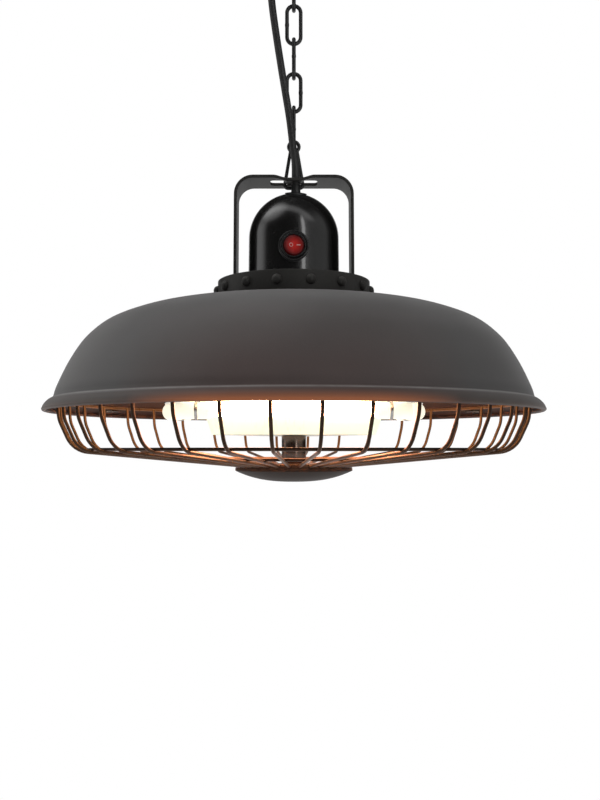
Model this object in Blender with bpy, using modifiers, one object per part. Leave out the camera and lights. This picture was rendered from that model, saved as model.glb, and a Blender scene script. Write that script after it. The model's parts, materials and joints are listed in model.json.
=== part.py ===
"""Hanging patio heater: a wide spun shade with a wire guard and three halogen tubes below it,
a domed control housing and a strap bracket above it, hung from a ceiling hook on a short chain.

Metres, +Z up. The origin is on the ceiling, at the centre of the ceiling plate's upper face.
-Y is the front, where the switch is. Every height is worked out downwards from the ceiling.
"""

import bmesh
import bpy
import math
from mathutils import Matrix, Vector

# Clearances and working values
touch_gap = 0.0003
merge_distance = 0.00001
cut_overrun = 0.002

# Ceiling plate and its fitting for the cord
ceiling_plate_radius = 0.040
ceiling_plate_thickness = 0.003
ceiling_boss_radius = 0.008
ceiling_boss_height = 0.006
ceiling_hole_radius = 0.0023
ceiling_hole_spread = 0.031
cord_fitting_x = -0.024
cord_fitting_y = -0.006
cord_fitting_flange_radius = 0.009
cord_fitting_flange_thickness = 0.002
cord_fitting_radius = 0.0065
cord_fitting_mouth_radius = 0.0052
cord_fitting_drop = 0.040

# Ceiling hook
hook_wire_radius = 0.0025
hook_bowl_radius = 0.008
hook_drop = 0.040
hook_neck = 0.007
hook_stem_depth = 0.0045
hook_tip_angle = math.radians(20)

# Chain
link_count = 5
link_wire_radius = 0.002
link_length = 0.043
link_width = 0.018

# Wire loop between the chain and the bracket
loop_wire_radius = 0.00185
loop_height = 0.0474
loop_base_half = 0.00975
loop_corner_radius = 0.0032
loop_eye_radius = 0.0052
loop_neck_half = 0.0034

# Strap bracket
bracket_width = 0.042
bracket_thickness = 0.003
bracket_leg_gap = 0.001
bracket_lean = 0.0008
bracket_height = 0.1207
bracket_corner_radius = 0.019
bracket_bend_radius = 0.0055
bracket_foot_length = 0.0092
saddle_dip = 0.003
saddle_half = 0.0068
dip_half = 0.021
slot_end = 0.024
slot_width = 0.019
slot_corner_radius = 0.004
cord_hole_radius = 0.0047

# Supply cord
cord_radius = 0.00365
cord_gland_x = 0.002
cord_gland_y = -0.012

# Mounting plate inside the collar
plate_foot_gap = 0.0036
plate_thickness = 0.003
plate_rim_height = 0.0145
plate_rim_wall = 0.002

# Collar band with its rivets
collar_wall = 0.0015
collar_height = 0.019
rivet_count = 15
rivet_radius = 0.005
rivet_height = 0.0044
rivet_sink = 0.0009
rivet_level = 0.0095

# Bolts and nuts of the bracket
bolt_radius = 0.002
bolt_head_radius = 0.0036
bolt_head_height = 0.0028
bolt_edge = 0.0034
bolt_nut_radius = 0.004
bolt_nut_height = 0.0032
bolt_end = 0.0015

# Domed control housing
dome_radius = 0.046
dome_height = 0.1058
dome_wall = 0.0015
dome_flange_width = 0.010
dome_fillet = 0.002
dome_screw_count = 3
dome_screw_edge = 0.0048
dome_screw_radius = 0.0018
dome_screw_head_radius = 0.0030
dome_screw_head_height = 0.0022

# Cable gland on the housing
gland_flange_radius = 0.011
gland_flange_height = 0.0024
gland_collar_radius = 0.0056
gland_collar_height = 0.0040
gland_stem_radius = 0.0052
gland_stem_length = 0.0125
gland_nut_radius = 0.009
gland_nut_height = 0.004

# Switch on the front of the housing
switch_level = 0.0438
switch_ring_radius = 0.015
switch_ring_front = 0.0032
switch_barrel_radius = 0.012
switch_barrel_front = 0.0042
switch_barrel_length = 0.022
switch_cup_radius = 0.0105
switch_cup_depth = 0.0085
rocker_radius = 0.0098
rocker_thickness = 0.006
rocker_depth = 0.002
rocker_tilt = math.radians(9)
rocker_edge = 0.0006
rocker_pin_radius = 0.001
rocker_pin_play = 0.0007

# Terminal block and the wiring inside
terminal_length = 0.034
terminal_width = 0.016
terminal_height = 0.014
terminal_gap = 0.0128
terminal_wire_level = 0.007
switch_lead_radius = 0.0025
switch_lead_start = 0.006
switch_lead_end = 0.012
harness_radius = 0.004
harness_run = 0.011
harness_bend_radius = 0.0075
harness_branch_radius = 0.0022
harness_ring_radius = 0.095
harness_hole_gap = 0.0006

# Shade: a spun steel reflector with a step and a rolled lip
shade_radius = 0.250
shade_height = 0.112
shade_wall = 0.0012
shade_curl = 0.0022
shade_shares = (
    (0.230, 0.060),
    (0.421, 0.111),
    (0.550, 0.172),
    (0.646, 0.240),
    (0.722, 0.329),
    (0.788, 0.440),
    (0.859, 0.617),
    (0.917, 0.804),
    (0.9316, 0.870),
    (0.9363, 0.884),
    (0.9537, 0.900),
    (0.9700, 0.921),
    (0.9870, 0.956),
    (1.0, 1.0),
)
shade_step_row = 9

# Central tie rod, its nut and the tube that keeps the lamp unit below the shade
rod_radius = 0.004
rod_nut_radius = 0.0075
rod_nut_height = 0.0065
rod_end = 0.0015
spacer_radius = 0.0125
spacer_bore_radius = 0.0100
spacer_length = 0.0936

# Lamp unit
pan_radius = 0.131
pan_flat_radius = 0.118
pan_drop = 0.0095
pan_wall = 0.0012
core_depth = 0.0392
core_low_apothem = 0.050
core_low_half = 0.075
core_top_apothem = 0.060
core_top_half = 0.085
core_wall = 0.0012
core_edge_share = 0.45
lamp_count = 3
lamp_place = 0.075
lamp_drop = 0.018
lamp_radius = 0.0055
holder_inner = 0.079
holder_length = 0.033
holder_radius = 0.008
holder_bore_depth = 0.008
foot_length = 0.008
foot_width = 0.011

# Post, guard and bottom dish
post_radius = 0.0125
post_bore_radius = 0.0105
post_length = 0.0281
hub_radius = 0.0598
hub_thickness = 0.0042
guard_wire_radius = 0.0015
guard_wire_count = 36
guard_wire_phase = math.radians(-94.5)
guard_side_lean = 0.0007
guard_side_level = 0.0452
guard_floor_inset = 0.0136
guard_floor_level = 0.0131
guard_floor_bend = 0.024
guard_weld = 0.0006
guard_sink = 0.0028
guard_large_hoop_inset = 0.0125
guard_small_hoop_radius = 0.105
clip_count = 3
clip_angle = math.radians(-89.5)
clip_width = 0.012
clip_thickness = 0.0013
clip_inward = 0.0035
dish_height = 0.0140
dish_lip = 0.0012
dish_wall = 0.0015
dish_boss_radius = 0.008
dish_bore_depth = 0.0095

# How finely round shapes are divided
shade_segments = 40
round_segments = 32
dome_segments = 28
switch_segments = 20
small_segments = 14
tiny_segments = 12
bend_steps = 4

# Radii that follow, outwards from the housing
dome_flange_radius = dome_radius + dome_flange_width
dome_screw_place = dome_flange_radius - dome_screw_edge
bracket_span = 2 * (dome_flange_radius + bracket_leg_gap + bracket_thickness)
bracket_foot_span = bracket_span + 2 * bracket_lean
bracket_foot_reach = bracket_foot_span / 2 + bracket_foot_length
bolt_place = bracket_foot_reach - bolt_edge
plate_radius = bracket_foot_reach + plate_foot_gap + plate_rim_wall
collar_radius = plate_radius + touch_gap + collar_wall
terminal_place = dome_radius - dome_wall - terminal_width / 2 - terminal_gap

# Heights that follow, from the ceiling down
hook_axis_z = -hook_drop
link_span = link_length - 2 * link_wire_radius
link_play = 2 * link_wire_radius + touch_gap
first_link_top_z = hook_axis_z + hook_wire_radius + link_wire_radius + touch_gap
chain_axis_z = first_link_top_z - link_span
last_link_low_z = chain_axis_z - (link_count - 1) * (link_span - link_play)
loop_top_z = last_link_low_z + link_wire_radius + loop_wire_radius + touch_gap
tilt_axis_z = loop_top_z - loop_height
bar_low_z = tilt_axis_z + loop_wire_radius + touch_gap + saddle_dip
bar_top_z = bar_low_z + bracket_thickness
foot_low_z = bar_top_z - bracket_height
foot_top_z = foot_low_z + bracket_thickness
plate_top_z = foot_low_z - touch_gap
plate_low_z = plate_top_z - plate_thickness
shade_top_z = plate_low_z - touch_gap
shade_under_z = shade_top_z - shade_wall
dome_low_z = plate_top_z + touch_gap
dome_top_z = dome_low_z + dome_height
dome_centre_z = dome_top_z - dome_radius
switch_z = dome_low_z + switch_level
pan_top_z = shade_under_z - spacer_length - 2 * touch_gap
pan_under_z = pan_top_z - pan_wall
lamp_z = pan_under_z - lamp_drop
core_top_z = pan_under_z - touch_gap - core_wall * core_edge_share
core_low_z = core_top_z - core_depth
post_top_z = core_low_z - touch_gap
post_low_z = post_top_z - post_length
hub_top_z = post_low_z - touch_gap
hub_low_z = hub_top_z - hub_thickness
dish_top_z = hub_low_z - touch_gap
dish_low_z = dish_top_z - dish_height
rod_top_z = plate_top_z + touch_gap + rod_nut_height + rod_end
rod_low_z = dish_top_z - dish_bore_depth + touch_gap
rod_hole_radius = rod_radius + touch_gap


def clear_scene():
    for thing in list(bpy.data.objects):
        bpy.data.objects.remove(thing, do_unlink=True)


def new_collection(name):
    collection = bpy.data.collections.new(name)
    bpy.context.scene.collection.children.link(collection)
    return collection


clear_scene()
parts = new_collection("hanging_patio_heater")
cutters = new_collection("cutters")


def paint(thing, colour, roughness, metallic):
    """Give a piece its own material."""
    material = bpy.data.materials.new(thing.name + "_material")
    material.use_nodes = True
    shader = material.node_tree.nodes["Principled BSDF"]
    shader.inputs["Base Color"].default_value = (*colour, 1)
    shader.inputs["Roughness"].default_value = roughness
    shader.inputs["Metallic"].default_value = metallic
    material.diffuse_color = (*colour, 1)
    thing.data.materials.clear()
    thing.data.materials.append(material)


def place(name, data, collection):
    thing = bpy.data.objects.new(name, data)
    collection.objects.link(thing)
    if collection == cutters:
        thing.hide_render = True
        thing.display_type = "WIRE"
    return thing


def as_piece(thing, name, colour, roughness, metallic):
    """Turn a helper shape into a finished piece of the heater."""
    for home in list(thing.users_collection):
        home.objects.unlink(thing)
    parts.objects.link(thing)
    thing.hide_render = False
    thing.display_type = "TEXTURED"
    thing.name = name
    paint(thing, colour, roughness, metallic)
    return thing


def turned(profile, segments, closed=True, wall=0):
    """A shape turned about Z from (radius, height) points that run down its outer side."""
    mesh = bpy.data.meshes.new("turned")
    shape = bmesh.new()
    corners = [shape.verts.new((radius, 0, height)) for radius, height in profile]
    for first, second in zip(corners, corners[1:]):
        shape.edges.new((first, second))
    if closed:
        shape.edges.new((corners[-1], corners[0]))
    shape.to_mesh(mesh)
    shape.free()
    thing = place("turned", mesh, cutters)
    screw = thing.modifiers.new("turn", "SCREW")
    screw.axis = "Z"
    screw.angle = math.tau
    screw.steps = segments
    screw.render_steps = segments
    screw.use_merge_vertices = True
    screw.merge_threshold = merge_distance
    screw.use_smooth_shade = True
    if wall:
        shell = thing.modifiers.new("wall", "SOLIDIFY")
        shell.thickness = wall
        shell.offset = -1
        shell.use_even_offset = True
    return thing


def cylinder(radius, low, high, segments, x=0, y=0):
    """An upright cylinder, turned a quarter step so that its corners miss its neighbours' corners."""
    mesh = bpy.data.meshes.new("cylinder")
    shape = bmesh.new()
    bmesh.ops.create_cone(
        shape,
        cap_ends=True,
        segments=segments,
        radius1=radius,
        radius2=radius,
        depth=high - low,
        matrix=Matrix.Rotation(math.pi / segments / 2, 4, "Z"),
    )
    shape.to_mesh(mesh)
    shape.free()
    thing = place("cylinder", mesh, cutters)
    thing.location = (x, y, (low + high) / 2)
    return thing


def block(size, centre, corner=0, steps=1, upright_only=False):
    """A box with rounded edges, either all of them or the upright ones."""
    mesh = bpy.data.meshes.new("block")
    shape = bmesh.new()
    bmesh.ops.create_cube(shape, size=1)
    bmesh.ops.scale(shape, vec=Vector(size), verts=shape.verts)
    if corner:
        edges = [
            edge
            for edge in shape.edges
            if not upright_only or abs((edge.verts[0].co - edge.verts[1].co).z) > corner
        ]
        bmesh.ops.bevel(shape, geom=edges, offset=corner, segments=steps, affect="EDGES", profile=0.5)
    shape.to_mesh(mesh)
    shape.free()
    thing = place("block", mesh, cutters)
    thing.location = centre
    return thing


def wire(points, radius, closed=False, resolution=2):
    """A round wire along points."""
    curve = bpy.data.curves.new("wire", "CURVE")
    curve.dimensions = "3D"
    spline = curve.splines.new("POLY")
    spline.points.add(len(points) - 1)
    for spot, point in zip(spline.points, points):
        spot.co = (*point, 1)
    spline.use_cyclic_u = closed
    curve.bevel_depth = radius
    curve.bevel_resolution = resolution
    curve.use_fill_caps = not closed
    return place("wire", curve, cutters)


def mesh_of(thing):
    """The finished mesh of a helper shape, in world space, with the helper taken away."""
    bpy.context.view_layer.update()
    source = thing.evaluated_get(bpy.context.evaluated_depsgraph_get())
    mesh = bpy.data.meshes.new_from_object(source)
    mesh.transform(thing.matrix_world)
    shape = bmesh.new()
    shape.from_mesh(mesh)
    bmesh.ops.remove_doubles(shape, verts=shape.verts, dist=merge_distance)
    shape.to_mesh(mesh)
    shape.free()
    bpy.data.objects.remove(thing, do_unlink=True)
    return mesh


def fixed(thing):
    """The helper shape as a plain mesh object in world space."""
    return place("fixed", mesh_of(thing), cutters)


def copies(thing, matrices):
    """Copies of one shape, side by side in one mesh."""
    source = mesh_of(thing)
    shape = bmesh.new()
    for matrix in matrices:
        copy = source.copy()
        copy.transform(matrix)
        shape.from_mesh(copy)
        bpy.data.meshes.remove(copy)
    mesh = bpy.data.meshes.new("copies")
    shape.to_mesh(mesh)
    shape.free()
    return place("copies", mesh, cutters)


def combine(thing, tool, operation):
    change = thing.modifiers.new(operation.lower(), "BOOLEAN")
    change.operation = operation
    change.solver = "EXACT"
    change.object = tool
    return thing


def cut(thing, tool):
    return combine(thing, tool, "DIFFERENCE")


def join(thing, tool):
    return combine(thing, tool, "UNION")


def drill(thing, radius, x, y, low, high, segments=tiny_segments):
    """An upright hole through a piece."""
    return cut(thing, cylinder(radius, low - cut_overrun, high + cut_overrun, segments, x, y))


def around(count, start, radius=0, height=0):
    """Evenly spaced turns about Z, as matrices."""
    shift = Matrix.Translation((radius, 0, height))
    return [Matrix.Rotation(start + math.tau * i / count, 4, "Z") @ shift for i in range(count)]


def arc(centre, radius, start, end, steps):
    """Points on an arc, as (across, up) pairs."""
    return [
        (
            centre[0] + radius * math.cos(start + (end - start) * i / steps),
            centre[1] + radius * math.sin(start + (end - start) * i / steps),
        )
        for i in range(steps + 1)
    ]


def rounded(corners, radii, steps=bend_steps, closed=False):
    """A path through corners, each bent to its own radius."""
    count = len(corners)
    path = []
    for i, (corner, radius) in enumerate(zip(corners, radii)):
        here = Vector(corner)
        if radius == 0 or (not closed and i in (0, count - 1)):
            path.append(here)
            continue
        back = (Vector(corners[i - 1]) - here).normalized()
        on = (Vector(corners[(i + 1) % count]) - here).normalized()
        half = math.acos(max(-1, min(1, back.dot(on)))) / 2
        middle = here + (back + on).normalized() * (radius / math.sin(half))
        first = here + back * (radius / math.tan(half)) - middle
        second = here + on * (radius / math.tan(half)) - middle
        turn = first.angle(second)
        for step in range(steps + 1):
            share = step / steps
            blend = (
                first * math.sin((1 - share) * turn) + second * math.sin(share * turn)
            ) / math.sin(turn)
            path.append(middle + blend)
    return path


def upright(pairs, x=0, y=0, along_y=False):
    """(across, up) pairs as points in the XZ plane, or in the YZ plane."""
    if along_y:
        return [(x, y + across, up) for across, up in pairs]
    return [(x + across, y, up) for across, up in pairs]


def smooth_through(points, step):
    """Points at even steps along a smooth curve through hand-chosen points."""
    spots = [Vector(point) for point in points]
    spots = [2 * spots[0] - spots[1], *spots, 2 * spots[-1] - spots[-2]]
    fine = []
    for a, b, c, d in zip(spots, spots[1:], spots[2:], spots[3:]):
        parts_of_run = 24
        for i in range(parts_of_run):
            t = i / parts_of_run
            fine.append(
                b
                + (c - a) * (t / 2)
                + (2 * a - 5 * b + 4 * c - d) * (t * t / 2)
                + (3 * b - a - 3 * c + d) * (t * t * t / 2)
            )
    fine.append(spots[-2])
    lengths = [(second - first).length for first, second in zip(fine, fine[1:])]
    total = sum(lengths)
    count = max(2, round(total / step))
    path = [fine[0]]
    run = 0
    target = total / count
    for spot, length in zip(fine[1:], lengths):
        run += length
        while len(path) < count and run >= target * len(path):
            path.append(spot)
    path.append(fine[-1])
    return path


# Ceiling plate: its flat top is the origin, and a boss below takes the hook
plate = turned(
    [
        (0, 0),
        (ceiling_plate_radius, 0),
        (ceiling_plate_radius, -ceiling_plate_thickness),
        (ceiling_boss_radius, -ceiling_plate_thickness),
        (ceiling_boss_radius, -ceiling_plate_thickness - ceiling_boss_height),
        (0, -ceiling_plate_thickness - ceiling_boss_height),
    ],
    round_segments,
    closed=False,
)
boss_low_z = -ceiling_plate_thickness - ceiling_boss_height
stem_top_z = boss_low_z + hook_stem_depth
cut(
    plate,
    cylinder(
        hook_wire_radius + touch_gap,
        boss_low_z - cut_overrun,
        stem_top_z + touch_gap,
        tiny_segments,
    ),
)
for side in (-1, 1):
    drill(plate, ceiling_hole_radius, 0, side * ceiling_hole_spread, -ceiling_plate_thickness, 0)
as_piece(plate, "ceiling_plate", (0.03, 0.03, 0.03), 0.5, 0.3)

# Ceiling hook: one bent wire, its bowl in the XZ plane
bowl_z = hook_axis_z + hook_bowl_radius
bowl = arc((0, bowl_z), hook_bowl_radius, math.radians(125), math.tau + hook_tip_angle, 12)
neck_z = bowl_z + hook_bowl_radius + hook_neck
stem = [(0, stem_top_z), (0, neck_z)]
neck = [
    (
        bowl[0][0] * (3 - 2 * share) * share * share,
        neck_z + (bowl[0][1] - neck_z) * share,
    )
    for share in (0.25, 0.5, 0.75)
]
as_piece(
    wire(upright(stem + neck + bowl), hook_wire_radius, resolution=1),
    "ceiling_hook",
    (0.03, 0.03, 0.03),
    0.4,
    0.6,
)

# Fitting that lets the cord out of the ceiling
fitting_top_z = -ceiling_plate_thickness - touch_gap
fitting_mouth_z = -cord_fitting_drop
fitting = turned(
    [
        (0, fitting_top_z),
        (cord_fitting_flange_radius, fitting_top_z),
        (cord_fitting_flange_radius, fitting_top_z - cord_fitting_flange_thickness),
        (cord_fitting_radius, fitting_top_z - cord_fitting_flange_thickness),
        (cord_fitting_radius, (fitting_top_z + fitting_mouth_z) / 2),
        (cord_fitting_mouth_radius, fitting_mouth_z),
        (0, fitting_mouth_z),
    ],
    small_segments,
    closed=False,
)
fitting.location = (cord_fitting_x, cord_fitting_y, 0)
as_piece(fitting, "ceiling_cord_fitting", (0.02, 0.02, 0.02), 0.5, 0)

# Chain: long welded links, each a quarter turn from the next, the first one seen edge-on
link_half = link_width / 2 - link_wire_radius
for number in range(link_count):
    top_z = first_link_top_z - number * (link_span - link_play)
    upper = arc((0, top_z - link_half), link_half, 0, math.pi, 6)
    lower = arc((0, top_z - link_span + link_half), link_half, math.pi, math.tau, 6)
    as_piece(
        wire(
            upright(upper + lower, along_y=number % 2 == 0),
            link_wire_radius,
            closed=True,
            resolution=1,
        ),
        f"chain_link_{number + 1}",
        (0.03, 0.03, 0.03),
        0.4,
        0.6,
    )

# Hanger loop: a closed wire with an eye for the chain, a waist, and legs through the bracket's slots
eye_z = loop_top_z - loop_eye_radius
neck_angle = -math.acos(loop_neck_half / loop_eye_radius)
eye = arc((0, eye_z), loop_eye_radius, neck_angle, math.pi - neck_angle, 12)
base = rounded(
    [
        (eye[-1][0], eye[-1][1]),
        (-loop_base_half, tilt_axis_z),
        (loop_base_half, tilt_axis_z),
        (eye[0][0], eye[0][1]),
    ],
    [0, loop_corner_radius, loop_corner_radius, 0],
)
loop_points = eye + [tuple(point) for point in base[1:-1]]
as_piece(
    wire(upright(loop_points), loop_wire_radius, closed=True, resolution=1),
    "hanger_loop",
    (0.03, 0.03, 0.03),
    0.4,
    0.6,
)

# Strap bracket: feet, legs and a bar whose middle is pressed down over the loop
half_sheet = bracket_thickness / 2
leg_top_x = bracket_span / 2 - half_sheet
leg_low_x = bracket_foot_span / 2 - half_sheet
half_path = rounded(
    [
        (0, bar_top_z - half_sheet),
        (leg_top_x, bar_top_z - half_sheet),
        (leg_low_x, foot_low_z + half_sheet),
        (bracket_foot_reach, foot_low_z + half_sheet),
    ],
    [0, bracket_corner_radius - half_sheet, bracket_bend_radius - half_sheet, 0],
    steps=5,
)
bar_columns = [0, saddle_half]
bar_columns += [
    saddle_half + (dip_half - saddle_half) * share for share in (0.25, 0.5, 0.75, 1)
]
half_path = [(x, bar_top_z - half_sheet) for x in bar_columns] + [tuple(p) for p in half_path[1:]]
strap_path = [(-x, z) for x, z in reversed(half_path[1:])] + half_path
row_shares = (-1, 0, 0.24, 0.62, 1)


def dip_at(x, row_share):
    """How far the bar is pressed down: most in the middle, least at the rear edge."""
    if abs(x) >= dip_half:
        return 0
    share = min(1, (dip_half - abs(x)) / (dip_half - saddle_half))
    rear = min(1, (1 - row_share) / (1 - row_shares[2]))
    return saddle_dip * share * share * (3 - 2 * share) * rear


strap_mesh = bpy.data.meshes.new("strap")
sheet = bmesh.new()
rows = [
    [
        sheet.verts.new(
            (
                x,
                share * bracket_width / 2,
                z - (dip_at(x, share) if z > bar_top_z - bracket_thickness else 0),
            )
        )
        for x, z in strap_path
    ]
    for share in row_shares
]
for near, far in zip(rows, rows[1:]):
    for i in range(len(near) - 1):
        sheet.faces.new((near[i], near[i + 1], far[i + 1], far[i]))
sheet.to_mesh(strap_mesh)
sheet.free()
bracket = place("strap", strap_mesh, cutters)
thicken = bracket.modifiers.new("sheet", "SOLIDIFY")
thicken.thickness = bracket_thickness
thicken.offset = 0
thicken.use_even_offset = True
slot_length = slot_end - saddle_half
for side in (-1, 1):
    cut(
        bracket,
        block(
            (slot_length, slot_width, 4 * bracket_thickness + 2 * saddle_dip),
            (side * (saddle_half + slot_end) / 2, 0, bar_low_z),
            slot_corner_radius,
            3,
            upright_only=True,
        ),
    )
drill(bracket, cord_hole_radius, cord_gland_x, cord_gland_y, bar_low_z - saddle_dip, bar_top_z, 16)
for side in (-1, 1):
    drill(bracket, bolt_radius + touch_gap, side * bolt_place, 0, foot_low_z, foot_top_z)
as_piece(bracket, "strap_bracket", (0.025, 0.025, 0.025), 0.45, 0.3)

# Bolts through the bracket's feet, the mounting plate and the shade, with their nuts below
bolt_head_low_z = foot_top_z + touch_gap
nut_top_z = shade_under_z - touch_gap
nut_low_z = nut_top_z - bolt_nut_height
for side, word in ((-1, "left"), (1, "right")):
    bolt = turned(
        [
            (0, bolt_head_low_z + bolt_head_height),
            (bolt_head_radius * 0.7, bolt_head_low_z + bolt_head_height),
            (bolt_head_radius, bolt_head_low_z + bolt_head_height * 0.4),
            (bolt_head_radius, bolt_head_low_z),
            (bolt_radius, bolt_head_low_z),
            (bolt_radius, nut_low_z - bolt_end),
            (0, nut_low_z - bolt_end),
        ],
        tiny_segments,
        closed=False,
    )
    bolt.location = (side * bolt_place, 0, 0)
    as_piece(bolt, f"bracket_bolt_{word}", (0.4, 0.4, 0.4), 0.35, 1)
    nut = cylinder(bolt_nut_radius, nut_low_z, nut_top_z, 6, side * bolt_place, 0)
    drill(nut, bolt_radius + touch_gap, side * bolt_place, 0, nut_low_z, nut_top_z)
    as_piece(nut, f"bracket_nut_{word}", (0.4, 0.4, 0.4), 0.35, 1)

# Mounting plate: a shallow pan that the collar is riveted round
harness_x = -terminal_length / 2 - harness_run
mounting = turned(
    [
        (plate_radius, plate_low_z + plate_rim_height),
        (plate_radius, plate_low_z),
        (rod_hole_radius, plate_low_z),
        (rod_hole_radius, plate_top_z),
        (plate_radius - plate_rim_wall, plate_top_z),
        (plate_radius - plate_rim_wall, plate_low_z + plate_rim_height),
    ],
    round_segments,
)
dome_screw_spots = [
    Vector((dome_screw_place * math.cos(turn), dome_screw_place * math.sin(turn)))
    for turn in [math.pi / 2 + math.tau * i / dome_screw_count for i in range(dome_screw_count)]
]
harness_hole = harness_radius + harness_hole_gap
for side in (-1, 1):
    drill(mounting, bolt_radius + touch_gap, side * bolt_place, 0, plate_low_z, plate_top_z)
drill(mounting, harness_hole, harness_x, terminal_place, plate_low_z, plate_top_z, 16)
for spot in dome_screw_spots:
    drill(mounting, dome_screw_radius + touch_gap, spot.x, spot.y, plate_low_z, plate_top_z)
as_piece(mounting, "mounting_plate", (0.05, 0.05, 0.05), 0.5, 0.6)

# Collar band, one piece with the rivets that pin it to the mounting plate's rim
collar_low_z = shade_top_z + touch_gap
collar = turned(
    [
        (collar_radius, collar_low_z + collar_height),
        (collar_radius, collar_low_z),
        (collar_radius - collar_wall, collar_low_z),
        (collar_radius - collar_wall, collar_low_z + collar_height),
    ],
    rivet_count * 3,
)
cap = arc((0, 0), 1, math.pi / 2, 0, 2)
rivet = turned(
    [(rivet_radius * across, rivet_height * up) for across, up in cap]
    + [(rivet_radius, -rivet_sink), (0, -rivet_sink)],
    tiny_segments - 2,
    closed=False,
)
rivet.rotation_euler = (0, math.pi / 2, 0)
first_rivet = -math.pi / 2 + math.pi / rivet_count
join(
    collar,
    copies(rivet, around(rivet_count, first_rivet, collar_radius, collar_low_z + rivet_level)),
)
as_piece(collar, "collar_band", (0.025, 0.025, 0.025), 0.4, 0.3)

# Domed control housing with a flange
dome_arc = arc((0, dome_centre_z), dome_radius, math.pi / 2, 0, 6)
flange_top_z = dome_low_z + dome_wall
dome_profile = [
    *dome_arc,
    (dome_radius, flange_top_z + dome_fillet),
    (dome_radius + dome_fillet, flange_top_z),
    (dome_flange_radius, flange_top_z),
]
dome = turned(dome_profile, dome_segments, closed=False, wall=dome_wall)
drill(
    dome,
    gland_stem_radius + touch_gap,
    cord_gland_x,
    cord_gland_y,
    dome_centre_z,
    dome_top_z,
    small_segments,
)
for spot in dome_screw_spots:
    drill(dome, dome_screw_radius + touch_gap, spot.x, spot.y, dome_low_z, flange_top_z)
switch_front_y = -dome_radius - switch_barrel_front
switch_hole = cylinder(
    switch_barrel_radius + touch_gap,
    -switch_barrel_length / 2,
    switch_barrel_length / 2,
    switch_segments,
)
switch_hole.rotation_euler = (math.pi / 2, 0, 0)
switch_hole.location = (0, -dome_radius, switch_z)
cut(dome, switch_hole)
as_piece(dome, "dome_housing", (0.012, 0.012, 0.012), 0.12, 0)

# Screws that hold the housing's flange to the mounting plate
screw_head_z = flange_top_z + touch_gap
for number, spot in enumerate(dome_screw_spots, 1):
    screw_piece = turned(
        [
            (0, screw_head_z + dome_screw_head_height),
            (dome_screw_head_radius * 0.6, screw_head_z + dome_screw_head_height),
            (dome_screw_head_radius, screw_head_z + dome_screw_head_height * 0.4),
            (dome_screw_head_radius, screw_head_z),
            (dome_screw_radius, screw_head_z),
            (dome_screw_radius, plate_low_z + touch_gap),
            (0, plate_low_z + touch_gap),
        ],
        tiny_segments,
        closed=False,
    )
    screw_piece.location = (spot.x, spot.y, 0)
    as_piece(screw_piece, f"housing_screw_{number}", (0.4, 0.4, 0.4), 0.35, 1)

# Cable gland on the housing's crown, its flange fitted to the curve, and its nut inside
gland_offset = math.hypot(cord_gland_x, cord_gland_y)
gland_seat_z = dome_top_z + touch_gap
gland_flange_top_z = gland_seat_z + gland_flange_height - touch_gap
gland_mouth_z = gland_flange_top_z + gland_collar_height
gland_low_z = gland_mouth_z - gland_collar_height - gland_stem_length
gland_flange_low_z = dome_centre_z + math.sqrt(
    dome_radius**2 - (gland_offset + gland_flange_radius) ** 2
)
gland = turned(
    [
        (0, gland_mouth_z),
        (cord_radius, gland_mouth_z),
        (gland_collar_radius, gland_flange_top_z),
        (gland_flange_radius, gland_flange_top_z),
        (gland_flange_radius, gland_flange_low_z),
        (0, gland_flange_low_z),
    ],
    small_segments,
    closed=False,
)
gland.location = (cord_gland_x, cord_gland_y, 0)
dome_form = turned(
    [
        *arc((0, dome_centre_z), dome_radius + touch_gap, math.pi / 2, 0, 6),
        (dome_radius + touch_gap, dome_low_z),
        (0, dome_low_z),
    ],
    dome_segments,
    closed=False,
)
cut(gland, dome_form)
gland_stem_top_z = gland_flange_top_z - gland_flange_height / 2
join(
    gland,
    cylinder(
        gland_stem_radius, gland_low_z, gland_stem_top_z, small_segments, cord_gland_x, cord_gland_y
    ),
)
as_piece(gland, "cable_gland", (0.015, 0.015, 0.015), 0.5, 0)
gland_nut_top_z = (
    dome_centre_z
    + math.sqrt((dome_radius - dome_wall) ** 2 - (gland_offset + gland_nut_radius) ** 2)
    - touch_gap
)
gland_nut = cylinder(
    gland_nut_radius,
    gland_nut_top_z - gland_nut_height,
    gland_nut_top_z,
    6,
    cord_gland_x,
    cord_gland_y,
)
drill(
    gland_nut,
    gland_stem_radius + touch_gap,
    cord_gland_x,
    cord_gland_y,
    gland_nut_top_z - gland_nut_height,
    gland_nut_top_z,
    small_segments,
)
as_piece(gland_nut, "gland_nut", (0.03, 0.03, 0.03), 0.5, 0)

# Supply cord from the gland, through the bracket and up beside the chain to the ceiling fitting
cord_low_z = gland_mouth_z + touch_gap
cord_high_z = fitting_mouth_z - touch_gap
cord_route = (
    (0.0020, -0.0120, cord_low_z),
    (0.0020, -0.0121, cord_low_z + 0.0080),
    (0.0014, -0.0134, -0.2350),
    (-0.0007, -0.0147, -0.2200),
    (-0.0040, -0.0150, -0.1920),
    (-0.0085, -0.0146, -0.1640),
    (-0.0133, -0.0128, -0.1340),
    (-0.0178, -0.0100, -0.1040),
    (-0.0216, -0.0076, -0.0760),
    (-0.0237, -0.0061, -0.0530),
    (cord_fitting_x, cord_fitting_y, cord_high_z),
)
cord_step = 5 * cord_radius
cord_points = smooth_through(cord_route, cord_step)
as_piece(
    wire(cord_points, cord_radius), "power_cord", (0.015, 0.015, 0.015), 0.45, 0
)

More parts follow.
